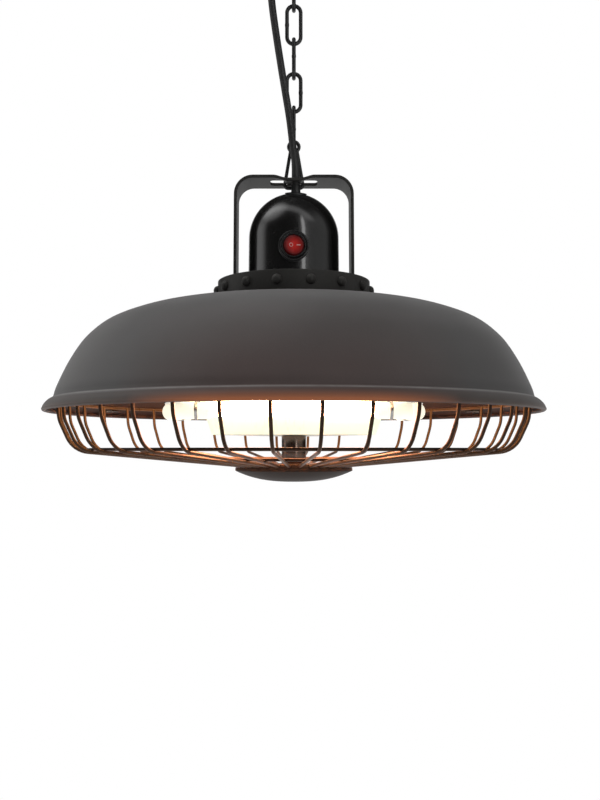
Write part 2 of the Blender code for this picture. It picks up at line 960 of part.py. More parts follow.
# Switch: a ring round a barrel on the front of the housing, with a round rocker in the barrel's mouth
ring = turned(
    [
        (switch_ring_radius, 0),
        (switch_ring_radius, -2 * switch_ring_front),
        (switch_barrel_radius + touch_gap, -2 * switch_ring_front),
        (switch_barrel_radius + touch_gap, 0),
    ],
    switch_segments,
)
ring.rotation_euler = (math.pi / 2, 0, 0)
ring.location = (0, -dome_radius - switch_ring_front, switch_z)
cut(ring, dome_form)
as_piece(ring, "switch_ring", (0.015, 0.015, 0.015), 0.3, 0)
barrel = turned(
    [
        (0, -switch_cup_depth),
        (switch_cup_radius, -switch_cup_depth),
        (switch_cup_radius, 0),
        (switch_barrel_radius, 0),
        (switch_barrel_radius, -switch_barrel_length),
        (0, -switch_barrel_length),
    ],
    switch_segments,
    closed=False,
)
barrel.rotation_euler = (math.pi / 2, 0, 0)
barrel.location = (0, switch_front_y, switch_z)
pin_half = switch_barrel_radius - rocker_pin_play
rocker_axis_y = switch_front_y + rocker_depth
cut(
    barrel,
    cylinder(
        rocker_pin_radius + touch_gap,
        switch_z - pin_half - touch_gap,
        switch_z + pin_half + touch_gap,
        tiny_segments,
        0,
        rocker_axis_y,
    ),
)
as_piece(barrel, "switch_barrel", (0.02, 0.02, 0.02), 0.4, 0)
rocker = turned(
    [
        (0, rocker_thickness / 2),
        (rocker_radius - rocker_edge, rocker_thickness / 2),
        (rocker_radius, rocker_thickness / 2 - rocker_edge),
        (rocker_radius, -rocker_thickness / 2),
        (0, -rocker_thickness / 2),
    ],
    switch_segments,
    closed=False,
)
rocker.rotation_euler = (math.pi / 2, 0, 0)
rocker_pin = cylinder(rocker_pin_radius, -pin_half, pin_half, tiny_segments)
rocker = fixed(join(rocker, fixed(rocker_pin)))
rocker.location = (0, rocker_axis_y, switch_z)
rocker.rotation_euler = (0, 0, rocker_tilt)
as_piece(rocker, "switch_rocker", (0.5, 0.02, 0.02), 0.2, 0)

# Terminal block on the mounting plate, inside the housing
terminal_low_z = plate_top_z + touch_gap
terminal = block(
    (terminal_length, terminal_width, terminal_height),
    (0, terminal_place, terminal_low_z + terminal_height / 2),
    dome_wall,
    1,
)
as_piece(terminal, "terminal_block", (0.75, 0.73, 0.68), 0.5, 0)
terminal_front_y = terminal_place - terminal_width / 2
terminal_top_z = terminal_low_z + terminal_height
wire_z = terminal_low_z + terminal_wire_level

# Inner end of the supply cord, from the gland to the terminal block
inner_top_z = gland_low_z - touch_gap
inner_low_z = terminal_top_z + touch_gap
inner_fall = inner_top_z - inner_low_z
inner_points = smooth_through(
    [
        (cord_gland_x, cord_gland_y, inner_top_z),
        (cord_gland_x, cord_gland_y, inner_top_z - inner_fall * 0.12),
        (0, (cord_gland_y + terminal_place) / 2, (inner_top_z + inner_low_z) / 2),
        (0, terminal_place, inner_low_z + inner_fall * 0.12),
        (0, terminal_place, inner_low_z),
    ],
    cord_step / 2,
)
as_piece(wire(inner_points, cord_radius), "supply_lead", (0.02, 0.02, 0.02), 0.5, 0)

# Lead from the switch to the terminal block
barrel_back_y = switch_front_y + switch_barrel_length
lead_corner_y = (barrel_back_y + terminal_front_y) / 2
lead_points = rounded(
    [
        (-switch_lead_start, barrel_back_y + touch_gap, switch_z),
        (-switch_lead_start, lead_corner_y, switch_z),
        (-switch_lead_end, lead_corner_y, wire_z),
        (-switch_lead_end, terminal_front_y - touch_gap, wire_z),
    ],
    [0, 3 * switch_lead_radius, 3 * switch_lead_radius, 0],
)
as_piece(wire(lead_points, switch_lead_radius, resolution=1), "switch_lead", (0.3, 0.05, 0.03), 0.5, 0)

# Heat-proof harness from the terminal block down to the lamp unit, with a ring over the pan
harness_reach = Vector((harness_x, terminal_place)).normalized() * harness_ring_radius
harness_low_z = pan_top_z + touch_gap + harness_radius
harness_points = rounded(
    [
        (-terminal_length / 2 - touch_gap, terminal_place, wire_z),
        (harness_x, terminal_place, wire_z),
        (harness_x, terminal_place, harness_low_z),
        (harness_reach.x, harness_reach.y, harness_low_z),
    ],
    [0, harness_bend_radius, harness_bend_radius, 0],
)
branch_z = pan_top_z + touch_gap + harness_branch_radius
branch_points = [
    (x, y, branch_z)
    for x, y in arc((0, 0), harness_ring_radius, math.radians(-30), math.radians(210), 16)
]
harness = fixed(wire(harness_points, harness_radius, resolution=1))
join(harness, fixed(wire(branch_points, harness_branch_radius, resolution=1)))
as_piece(harness, "wiring_harness", (0.8, 0.78, 0.7), 0.8, 0)

# Shade: flat under the collar, falling to a step and a flared lip rolled under at its edge
shade_run = shade_radius - collar_radius
shade_outline = [(rod_hole_radius, shade_top_z), (collar_radius, shade_top_z)]
shade_outline += [
    (collar_radius + shade_run * across, shade_top_z - shade_height * down)
    for across, down in shade_shares
]
rim_z = shade_top_z - shade_height
curl = arc((shade_radius - shade_curl, rim_z), shade_curl, 0, math.radians(-150), 2)
shade = turned(shade_outline + curl[1:], shade_segments, closed=False, wall=shade_wall)
for side in (-1, 1):
    drill(shade, bolt_radius + touch_gap, side * bolt_place, 0, shade_under_z, shade_top_z)
drill(shade, harness_hole, harness_x, terminal_place, shade_under_z, shade_top_z, 16)
as_piece(shade, "shade", (0.06, 0.06, 0.065), 0.7, 0.1)

# Tie rod through the whole stack, its nut above the mounting plate
as_piece(
    cylinder(rod_radius, rod_low_z, rod_top_z, 16), "tie_rod", (0.45, 0.45, 0.45), 0.35, 1
)
rod_nut_low_z = plate_top_z + touch_gap
rod_nut = cylinder(rod_nut_radius, rod_nut_low_z, rod_nut_low_z + rod_nut_height, 6)
drill(rod_nut, rod_hole_radius, 0, 0, rod_nut_low_z, rod_nut_low_z + rod_nut_height, 16)
as_piece(rod_nut, "tie_rod_nut", (0.45, 0.45, 0.45), 0.35, 1)


def tube(name, radius, bore, low, high, segments, colour, roughness, metallic):
    ring_profile = [(radius, high), (radius, low), (bore, low), (bore, high)]
    return as_piece(turned(ring_profile, segments), name, colour, roughness, metallic)


spacer_low_z = pan_top_z + touch_gap
tube(
    "spacer_tube",
    spacer_radius,
    spacer_bore_radius,
    spacer_low_z,
    spacer_low_z + spacer_length,
    small_segments,
    (0.4, 0.4, 0.4),
    0.4,
    1,
)

# Reflector pan above the lamps
pan = turned(
    [
        (rod_hole_radius, pan_top_z),
        (pan_flat_radius, pan_top_z),
        (pan_radius, pan_top_z - pan_drop),
    ],
    round_segments,
    closed=False,
    wall=pan_wall,
)
as_piece(pan, "reflector_pan", (0.8, 0.8, 0.78), 0.3, 1)


def core_ring(apothem, half):
    """The corners of a triangle with its points cut off."""
    corners = []
    for number in range(lamp_count):
        turn = Matrix.Rotation(math.tau * number / lamp_count, 2)
        corners += [turn @ Vector((-half, -apothem)), turn @ Vector((half, -apothem))]
    return corners


# Reflector core: an open box of a three-sided plan that the tubes lie round
core_mesh = bpy.data.meshes.new("core")
core_shape = bmesh.new()
floor = core_shape.faces.new(
    [core_shape.verts.new((*p, core_low_z)) for p in core_ring(core_low_apothem, core_low_half)]
)
walls = bmesh.ops.extrude_face_region(core_shape, geom=[floor])
top_corners = [item for item in walls["geom"] if isinstance(item, bmesh.types.BMVert)]
for corner in top_corners:
    low_corner = corner.co.xy
    match = min(
        zip(
            core_ring(core_low_apothem, core_low_half),
            core_ring(core_top_apothem, core_top_half),
        ),
        key=lambda pair: (pair[0] - low_corner).length,
    )
    corner.co = (*match[1], core_top_z)
top_faces = [item for item in walls["geom"] if isinstance(item, bmesh.types.BMFace)]
bmesh.ops.delete(core_shape, geom=top_faces, context="FACES_ONLY")
if not any(face.normal.z < -0.9 for face in core_shape.faces):
    core_shape.faces.new([v for v in core_shape.verts if abs(v.co.z - core_low_z) < merge_distance])
bmesh.ops.recalc_face_normals(core_shape, faces=core_shape.faces)
core_shape.faces.ensure_lookup_table()
core_shape.normal_update()
if max(core_shape.faces, key=lambda face: abs(face.normal.z)).normal.z > 0:
    bmesh.ops.reverse_faces(core_shape, faces=core_shape.faces)
core_shape.to_mesh(core_mesh)
core_shape.free()
core = place("core", core_mesh, cutters)
core_sheet = core.modifiers.new("sheet", "SOLIDIFY")
core_sheet.thickness = core_wall
core_sheet.offset = -1
core_sheet.use_even_offset = True
drill(core, rod_hole_radius, 0, 0, core_low_z, core_low_z + core_wall, 16)
as_piece(core, "reflector_core", (0.85, 0.82, 0.75), 0.3, 1)

# Halogen tubes and the ceramic holders at their ends
tube_half = holder_inner + holder_bore_depth - touch_gap
for number in range(lamp_count):
    turn = Matrix.Rotation(math.tau * number / lamp_count, 4, "Z")
    lamp = cylinder(lamp_radius, -tube_half, tube_half, small_segments)
    lamp.matrix_world = (
        turn @ Matrix.Translation((0, -lamp_place, lamp_z)) @ Matrix.Rotation(math.pi / 2, 4, "Y")
    )
    as_piece(lamp, f"lamp_tube_{number + 1}", (1.0, 0.85, 0.6), 0.1, 0)
    for side, word in ((-1, "a"), (1, "b")):
        middle = side * (holder_inner + holder_length / 2)
        body = cylinder(holder_radius, -holder_length / 2, holder_length / 2, small_segments)
        body.rotation_euler = (0, math.pi / 2, 0)
        body.location = (middle, -lamp_place, lamp_z)
        body = fixed(body)
        foot_low_level = lamp_z + holder_radius / 2
        foot_high_level = pan_under_z - touch_gap
        foot = block(
            (foot_length, foot_width, foot_high_level - foot_low_level),
            (
                side * (holder_inner + foot_length / 2),
                -lamp_place + holder_radius - foot_width / 2,
                (foot_high_level + foot_low_level) / 2,
            ),
        )
        body = fixed(join(body, fixed(foot)))
        bore = cylinder(
            lamp_radius + touch_gap,
            -holder_bore_depth - cut_overrun,
            holder_bore_depth + cut_overrun,
            small_segments,
        )
        bore.rotation_euler = (0, math.pi / 2, 0)
        bore.location = (side * (holder_inner - cut_overrun), -lamp_place, lamp_z)
        body = fixed(cut(body, fixed(bore)))
        body.matrix_world = turn
        as_piece(body, f"lamp_holder_{number + 1}{word}", (0.85, 0.83, 0.78), 0.6, 0)

# Post between the core and the guard
tube(
    "centre_post",
    post_radius,
    post_bore_radius,
    post_low_z,
    post_top_z,
    small_segments,
    (0.45, 0.42, 0.38),
    0.3,
    1,
)

# Wire guard: welded wires, three hoops and a hub plate, its top hoop seated under the shade's step
step_a, step_b = [
    Vector(point) for point in shade_outline[-len(shade_shares) :][shade_step_row : shade_step_row + 2]
]
step_along = (step_b - step_a).normalized()
step_out = Vector((-step_along.y, step_along.x))
facet_sag = shade_radius * (1 - math.cos(math.pi / shade_segments))
top_hoop = step_a - step_out * (shade_wall + guard_wire_radius + touch_gap)
top_hoop.x -= facet_sag
weld_offset = 2 * guard_wire_radius - guard_weld
wire_top = Vector((top_hoop.x - weld_offset, top_hoop.y))
wire_z_hub = (hub_top_z + hub_low_z) / 2
guard_side_radius = wire_top.x - guard_side_lean
guard_floor_radius = guard_side_radius - guard_floor_inset
guard_large_hoop_radius = guard_floor_radius - guard_large_hoop_inset
wire_path = rounded(
    [
        tuple(wire_top),
        (guard_side_radius, wire_z_hub + guard_side_level),
        (guard_floor_radius, wire_z_hub + guard_floor_level),
        (hub_radius - guard_sink, wire_z_hub),
    ],
    [0, 0, guard_floor_bend, 0],
    steps=3,
)


def hoop_on_wires(radius):
    """Where a hoop of this radius lies on the inner side of the wires."""
    for first, second in zip(wire_path, wire_path[1:]):
        along = (second - first).normalized()
        inward = Vector((along.y, -along.x))
        near = first + inward * weld_offset
        far = second + inward * weld_offset
        if min(near.x, far.x) <= radius <= max(near.x, far.x):
            share = (radius - near.x) / (far.x - near.x)
            return Vector((radius, near.y + (far.y - near.y) * share))
    return Vector((radius, wire_z_hub + weld_offset))


def ring_points(radius, height, steps):
    turn = guard_wire_phase
    return [(x, y, height) for x, y in arc((0, 0), radius, turn, turn + math.tau, steps)[:-1]]


guard = copies(
    wire(upright([tuple(point) for point in wire_path]), guard_wire_radius, resolution=1),
    around(guard_wire_count, guard_wire_phase),
)
hoops = []
for spot in (
    top_hoop,
    hoop_on_wires(guard_large_hoop_radius),
    hoop_on_wires(guard_small_hoop_radius),
):
    hoops.append(
        fixed(
            wire(
                ring_points(spot.x, spot.y, guard_wire_count),
                guard_wire_radius,
                closed=True,
                resolution=1,
            )
        )
    )
hoops.append(
    fixed(
        turned(
            [
                (hub_radius, hub_top_z),
                (hub_radius, hub_low_z),
                (rod_hole_radius, hub_low_z),
                (rod_hole_radius, hub_top_z),
            ],
            round_segments,
        )
    )
)
for hoop in hoops:
    join(guard, hoop)
as_piece(guard, "wire_guard", (0.06, 0.035, 0.025), 0.35, 0.8)

# Spring clips pressed between the shade's lip and the underside of the guard's top hoop
shade_inner = []
for before, here, after in zip(shade_outline, shade_outline[1:], shade_outline[2:]):
    along = (Vector(after) - Vector(before)).normalized()
    shade_inner.append(Vector(here) + Vector((along.y, -along.x)) * shade_wall)


def lip_radius_at(height):
    """The inner radius of the lip at a height."""
    for first, second in zip(shade_inner, shade_inner[1:]):
        if second.y <= height <= first.y:
            share = (first.y - height) / (first.y - second.y)
            return first.x + (second.x - first.x) * share
    return shade_radius - shade_wall


clip_top_z = top_hoop.y - guard_wire_radius - touch_gap
clip_outer = lip_radius_at(clip_top_z) - facet_sag - touch_gap
clip_inner = top_hoop.x - clip_inward
for number in range(clip_count):
    clip = block(
        (clip_outer - clip_inner, clip_width, clip_thickness),
        ((clip_outer + clip_inner) / 2, 0, clip_top_z - clip_thickness / 2),
        clip_thickness / 4,
        1,
    )
    clip = fixed(clip)
    clip.rotation_euler = (0, 0, clip_angle + math.tau * number / clip_count)
    as_piece(clip, f"guard_clip_{number + 1}", (0.3, 0.3, 0.3), 0.4, 1)

# Bottom dish: a domed cover under the hub, with a boss that the tie rod screws into
dish_edge_z = dish_top_z - dish_lip
dish_sag = dish_edge_z - dish_low_z
dish_bow = (hub_radius**2 + dish_sag**2) / (2 * dish_sag)
dish_turn = math.asin(hub_radius / dish_bow)
bow_centre = (0, dish_low_z + dish_bow)
outer_bow = arc(bow_centre, dish_bow, dish_turn - math.pi / 2, -math.pi / 2, 5)
inner_bow_radius = dish_bow - dish_wall
boss_turn = math.asin(dish_boss_radius / inner_bow_radius)
inner_turn = math.asin((hub_radius - dish_wall) / inner_bow_radius)
inner_bow = arc(bow_centre, inner_bow_radius, boss_turn - math.pi / 2, inner_turn - math.pi / 2, 4)
dish = turned(
    [
        (0, dish_top_z - dish_bore_depth),
        (rod_hole_radius, dish_top_z - dish_bore_depth),
        (rod_hole_radius, dish_top_z),
        (dish_boss_radius, dish_top_z),
        *inner_bow,
        (hub_radius - dish_wall, dish_top_z),
        (hub_radius, dish_top_z),
        *outer_bow,
    ],
    round_segments,
    closed=False,
)
as_piece(dish, "bottom_dish", (0.05, 0.05, 0.052), 0.6, 0.2)

# Moving groups: each has an empty on its joint, and the pieces that move with it are its children
groups = {
    "first_link_joint": ((0, 0, hook_axis_z), ["chain_link_1"]),
    "chain_joint": (
        (0, 0, chain_axis_z),
        [f"chain_link_{number}" for number in range(2, link_count + 1)]
        + ["hanger_loop", "power_cord"],
    ),
    "switch_joint": ((0, rocker_axis_y, switch_z), ["switch_rocker"]),
}
fixed_names = ["ceiling_plate", "ceiling_hook", "ceiling_cord_fitting"]
taken = fixed_names + [name for _, names in groups.values() for name in names]
rest = [thing.name for thing in parts.objects if thing.name not in taken]
groups["heater_joint"] = ((0, 0, tilt_axis_z), rest)
bpy.context.view_layer.update()
for joint_name, (spot, names) in groups.items():
    joint = bpy.data.objects.new(joint_name, None)
    joint.location = spot
    parts.objects.link(joint)
    bpy.context.view_layer.update()
    for name in names:
        piece = bpy.data.objects[name]
        piece.parent = joint
        piece.matrix_parent_inverse = joint.matrix_world.inverted()

# Round pieces are shaded smooth up to their real edges
bpy.context.view_layer.update()
for thing in parts.objects:
    if thing.type == "MESH":
        thing.data.shade_smooth()
        thing.data.set_sharp_from_angle(angle=math.radians(35))
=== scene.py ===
"""Hanging patio heater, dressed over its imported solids: chain, cord, bracket, dome, shade, lamps, guard.

Metres, +Z up, the origin on the ceiling, -Y the front.
"""

import json
import math

import bmesh
import bpy
from mathutils import Matrix, Vector, noise


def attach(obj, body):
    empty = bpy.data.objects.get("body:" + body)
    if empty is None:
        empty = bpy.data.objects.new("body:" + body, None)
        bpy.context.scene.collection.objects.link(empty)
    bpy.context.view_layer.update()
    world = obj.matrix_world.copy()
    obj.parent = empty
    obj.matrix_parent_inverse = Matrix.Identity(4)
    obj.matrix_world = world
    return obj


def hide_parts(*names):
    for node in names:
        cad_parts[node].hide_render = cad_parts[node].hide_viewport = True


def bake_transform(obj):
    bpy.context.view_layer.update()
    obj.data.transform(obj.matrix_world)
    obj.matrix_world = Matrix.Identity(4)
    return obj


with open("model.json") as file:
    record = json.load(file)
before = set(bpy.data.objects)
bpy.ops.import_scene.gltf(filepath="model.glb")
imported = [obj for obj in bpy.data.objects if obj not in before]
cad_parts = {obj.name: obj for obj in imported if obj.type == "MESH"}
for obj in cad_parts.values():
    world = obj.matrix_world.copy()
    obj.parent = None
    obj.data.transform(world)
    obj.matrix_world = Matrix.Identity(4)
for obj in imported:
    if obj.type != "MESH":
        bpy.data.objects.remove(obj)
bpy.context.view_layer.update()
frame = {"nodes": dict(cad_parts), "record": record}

scene = bpy.context.scene

# Working values
touch_gap = 0.0003
merge_distance = 0.000004
cut_overrun = 0.002
quarter_turn = math.pi / 2
third_turn = math.tau / 3

# Sizes of the solids that the pieces follow, and of their finer forms, from the ceiling down
plate_r, plate_t, boss_r, boss_h = 0.040, 0.003, 0.008, 0.006
screw_hole_r, screw_hole_place = 0.0023, 0.031
fitting_x, fitting_y, fitting_drop = -0.024, -0.006, 0.040
hook_wire, hook_bowl, hook_drop, hook_neck, hook_stem = 0.0025, 0.008, 0.040, 0.007, 0.0045
link_wire, link_length, link_width, link_count = 0.002, 0.043, 0.018, 5
loop_wire, loop_height, loop_half, loop_corner = 0.00185, 0.0474, 0.00975, 0.0032
loop_eye, loop_neck = 0.0052, 0.0034
strap_width, strap_t, strap_span, strap_foot_span = 0.042, 0.003, 0.120, 0.1216
strap_height, strap_corner, strap_bend, strap_reach = 0.1207, 0.019, 0.0055, 0.070
saddle_dip, saddle_half, dip_half, dip_rear, dip_side = 0.003, 0.0068, 0.021, 0.24, 0.0042
slot_end, slot_width, slot_corner, cord_hole_r = 0.024, 0.019, 0.004, 0.0047
cord_r, cord_x, cord_y = 0.00365, 0.002, -0.012
mount_r, mount_t, mount_rim, mount_wall = 0.0756, 0.003, 0.0145, 0.002
collar_r, collar_wall, collar_h = 0.0774, 0.0015, 0.019
rivet_count, rivet_r, rivet_h, rivet_sink, rivet_level = 15, 0.005, 0.0044, 0.0009, 0.0095
bolt_r, bolt_head_r, bolt_head_h, bolt_place = 0.002, 0.0036, 0.0028, 0.0666
nut_h, bolt_end = 0.0032, 0.0015
dome_r, dome_h, dome_wall, dome_flange, dome_fillet = 0.046, 0.1058, 0.0015, 0.056, 0.002
dome_draft = 0.0007
dome_screw_place, dome_screw_r, dome_screw_head_r, dome_screw_head_h = 0.0512, 0.0018, 0.003, 0.0022
gland_flange_r, gland_flange_h, gland_collar_h = 0.011, 0.0024, 0.004
gland_stem_r, gland_stem_l = 0.0052, 0.0125
gland_skin, gland_neck_r, sleeve_foot, sleeve_tip = 0.0009, 0.0050, 0.0044, 0.0038
switch_level, ring_r, ring_front = 0.0438, 0.015, 0.0032
barrel_r, barrel_front, barrel_l, cup_r, cup_depth = 0.012, 0.0042, 0.022, 0.0105, 0.0085
rocker_r, rocker_t, rocker_depth, rocker_tilt = 0.0098, 0.006, 0.002, math.radians(9)
rocker_hollow, rocker_corner, pin_r = 0.0008, 0.0011, 0.001
harness_x, harness_y, harness_hole_r = -0.028, 0.0237, 0.0046
shade_r, shade_h, shade_wall, shade_curl = 0.250, 0.112, 0.0012, 0.0022
shade_shares = (
    (0.230, 0.060), (0.421, 0.111), (0.550, 0.172), (0.646, 0.240), (0.722, 0.329),
    (0.788, 0.440), (0.859, 0.617), (0.917, 0.806), (0.9335, 0.884), (0.9375, 0.901),
    (0.9545, 0.914), (0.9705, 0.932), (0.9880, 0.962), (1.0, 1.0),
)
step_row, shade_facets = 9, 40
rod_hole, spacer_l = 0.0043, 0.0936
pan_r, pan_flat, pan_drop, pan_wall = 0.131, 0.118, 0.0095, 0.0012
dent_size, dent_depth = 0.0062, 0.00028
core_depth, core_wall, core_edge_share = 0.0392, 0.0012, 0.45
core_low, core_top = (0.050, 0.075), (0.060, 0.085)
core_corner, rib_width, rib_depth = 0.004, 0.00165, 0.00011
lamp_count, lamp_place, lamp_drop, lamp_r = 3, 0.075, 0.018, 0.0055
holder_inner, holder_l, holder_r, holder_bore = 0.079, 0.033, 0.008, 0.008
foot_l, foot_w = 0.008, 0.011
post_r, post_bore, post_l = 0.0125, 0.0105, 0.0281
hub_r, hub_t, guard_wire, guard_count = 0.0598, 0.0042, 0.0015, 36
guard_phase, guard_sink, guard_weld = math.radians(-94.5), 0.0028, 0.0006
guard_side, guard_side_level, guard_floor, guard_floor_level = 0.2336, 0.0452, 0.220, 0.0148
guard_bend, large_hoop, small_hoop = 0.024, 0.2075, 0.105
seen_wire = 1.08 * guard_wire
clip_angle, clip_width, clip_t, clip_inward = math.radians(-89.5), 0.012, 0.0013, 0.0035
dish_h, dish_lip, dish_wall, dish_boss, dish_bore = 0.0140, 0.0027, 0.0015, 0.008, 0.0095
dish_fullness = 2.6

# Heights that follow
hook_z = -hook_drop
fitting_mouth = -fitting_drop
link_span = link_length - 2 * link_wire
link_pitch = link_span - 2 * link_wire - touch_gap
first_link_z = hook_z + hook_wire + link_wire + touch_gap
chain_z = first_link_z - link_span
loop_top = chain_z - (link_count - 1) * link_pitch + link_wire + loop_wire + touch_gap
tilt_z = loop_top - loop_height
bar_low = tilt_z + loop_wire + touch_gap + saddle_dip
bar_top = bar_low + strap_t
foot_low = bar_top - strap_height
foot_top = foot_low + strap_t
mount_top = foot_low - touch_gap
mount_low = mount_top - mount_t
shade_top = mount_low - touch_gap
shade_under = shade_top - shade_wall
crease_z = shade_top - shade_h * shade_shares[step_row + 1][1]
rim_z = shade_top - shade_h
collar_low = shade_top + touch_gap
dome_low = mount_top + touch_gap
flange_top = dome_low + dome_wall
dome_top = dome_low + dome_h
dome_centre = dome_top - dome_r
gland_seat = dome_top + gland_flange_h
gland_mouth = gland_seat + gland_collar_h
switch_z = dome_low + switch_level
pan_top = shade_under - spacer_l - 2 * touch_gap
pan_under = pan_top - pan_wall
lamp_z = pan_under - lamp_drop
core_low_z = pan_under - touch_gap - core_wall * core_edge_share - core_depth
post_top = core_low_z - touch_gap
post_low = post_top - post_l
hub_top = post_low - touch_gap
hub_low = hub_top - hub_t
dish_top = hub_low - touch_gap
dish_low = dish_top - dish_h


# ---- camera
camera_data = bpy.data.cameras.new("camera")
camera_data.sensor_width = 36
camera_data.lens = 42.9
camera_data.shift_x = 0.0077
camera_data.shift_y = 0.0638
camera_data.clip_start = 0.01
camera = bpy.data.objects.new("camera", camera_data)
camera.location = (0, -0.975, -0.525)
camera.rotation_euler = (quarter_turn, 0, 0)
scene.collection.objects.link(camera)
scene.camera = camera


# ---- node helpers
class Net:
    """A node tree, with short ways to add the nodes that its patterns are made of."""

    def __init__(self, tree):
        self.tree = tree

    def put(self, node, values):
        """A node's inputs set to numbers and colours, or joined to other nodes' outputs."""
        for key, value in values.items():
            socket = node.inputs[key]
            if isinstance(value, bpy.types.NodeSocket):
                self.tree.links.new(value, socket)
            else:
                socket.default_value = (*value, 1) if socket.type == "RGBA" else value
        return node

    def add(self, kind, values=None, **settings):
        node = self.tree.nodes.new(kind)
        for key, value in settings.items():
            setattr(node, key, value)
        return self.put(node, values or {})

    def out(self, kind, values=None, **settings):
        """A new node's first output."""
        return self.add(kind, values, **settings).outputs[0]

    def maths(self, operation, first, second=0.0, clamp=False):
        return self.out("ShaderNodeMath", {0: first, 1: second}, operation=operation, use_clamp=clamp)

    def times(self, first, *others):
        for other in others:
            first = self.maths("MULTIPLY", first, other)
        return first

    def off(self, value, middle):
        """How far a value lies from a middle, on either side."""
        return self.maths("ABSOLUTE", self.maths("SUBTRACT", value, middle))

    def spread(self, value, low, high, new_low=0.0, new_high=1.0):
        """A value's range stretched to a new range, and held there."""
        ranges = {"From Min": low, "From Max": high, "To Min": new_low, "To Max": new_high}
        return self.out("ShaderNodeMapRange", {"Value": value, **ranges})

    def widened(self, grain, low=0.0, high=1.0):
        """The middle of a noise's range, where most of it lies, as a whole range."""
        return self.spread(grain, 0.3, 0.7, low, high)

    def mixed(self, share, first, second, mode="MIX"):
        """Two colours mixed by a share."""
        values = {0: share, 6: first, 7: second}
        return self.add("ShaderNodeMix", values, data_type="RGBA", blend_type=mode).outputs[2]

    def tinted(self, share, colour, tint):
        """A colour multiplied by a tint, as far as the share goes."""
        return self.mixed(share, colour, self.mixed(1.0, colour, tint, "MULTIPLY"))

    def vector(self, operation, first, second=(0, 0, 0)):
        return self.add("ShaderNodeVectorMath", {0: first, 1: second}, operation=operation).outputs

    def parts(self, vector):
        """A vector's three numbers."""
        return self.add("ShaderNodeSeparateXYZ", {0: vector}).outputs

    def coords(self, kind):
        return self.add("ShaderNodeTexCoord").outputs[kind]

    def point(self, stretch=(1, 1, 1)):
        """The piece's own coordinates, stretched where a grain runs one way."""
        return self.out("ShaderNodeMapping", {"Vector": self.coords("Object"), "Scale": stretch})

    def run(self):
        """The piece's run map: round it or out from its middle, and along it."""
        return self.out("ShaderNodeUVMap", uv_map="run")

    def noisy(self, point, scale, detail=3.0, roughness=0.55):
        values = {"Vector": point, "Scale": scale, "Detail": detail, "Roughness": roughness}
        return self.out("ShaderNodeTexNoise", values)

    def patches(self, scale, low=0.0, high=1.0, stretch=(1, 1, 1)):
        """A noise over the piece, between a low and a high value."""
        return self.widened(self.noisy(self.point(stretch), scale), low, high)

    def bump(self, height, depth, strength):
        return self.out("ShaderNodeBump", {"Height": height, "Distance": depth, "Strength": strength})

    def away(self):
        """The level direction from the middle line to a point of the piece."""
        level = self.vector("MULTIPLY", self.coords("Object"), (1, 1, 0))[0]
        return self.vector("NORMALIZE", level)[0]

    def outwards(self):
        """How far a surface faces away from the middle line, from -1 to 1."""
        return self.vector("DOT_PRODUCT", self.away(), self.coords("Normal"))["Value"]

    def upwards(self):
        """How far a surface faces up, from -1 to 1."""
        return self.parts(self.coords("Normal"))[2]


# ---- finishes
finishes = {}
grain_strength, lamp_strength = 0.6, 54.0
long_grain = (5, 5, 0.15)


class Finish(Net):
    """A procedural material round one Principled shader."""

    def __init__(self, slot):
        material = bpy.data.materials.new(slot + "_finish")
        material.use_nodes = True
        super().__init__(material.node_tree)
        self.tree.nodes.clear()
        self.shader = self.add("ShaderNodeBsdfPrincipled")
        self.add("ShaderNodeOutputMaterial", {"Surface": self.shader.outputs[0]})
        finishes[slot] = material

    def give(self, values):
        self.put(self.shader, values)


def coated(
    slot, dark, light, roughness, metallic=0.0, grain=700.0, depth=0.00004, blotch=12.0, swing=0.06,
    stretch=(1, 1, 1), specular=0.5, coat=0.0, coat_roughness=0.08, speckle=0.0,
):
    """A finish with broad clouding, a fine grain that also stands up a little, and uneven gloss."""
    net = Finish(slot)
    point = net.point(stretch)
    cloud, fine = net.noisy(net.point(), blotch, 4.0), net.noisy(point, grain, 2.0, 0.6)
    broad, small = net.spread(cloud, 0.35, 0.65, 0.0, 0.62), net.widened(fine, 0.0, 0.38)
    net.colour = net.mixed(net.maths("ADD", broad, small, clamp=True), dark, light)
    if speckle:
        cells = net.add("ShaderNodeTexVoronoi", {"Vector": point, "Scale": grain * 0.8}).outputs["Distance"]
        bright = [min(1, 2.6 * part) for part in light]
        net.colour = net.mixed(net.spread(cells, 0.0, 0.22, speckle, 0.0), net.colour, bright)
    gloss = net.maths("ADD", net.times(cloud, 0.6), net.times(fine, 0.4))
    net.give({
        "Base Color": net.colour,
        "Roughness": net.widened(gloss, roughness - swing, roughness + swing),
        "Normal": net.bump(fine, depth, grain_strength),
        "Metallic": metallic,
        "Specular IOR Level": specular,
        "Coat Weight": coat,
        "Coat Roughness": coat_roughness,
    })
    return net


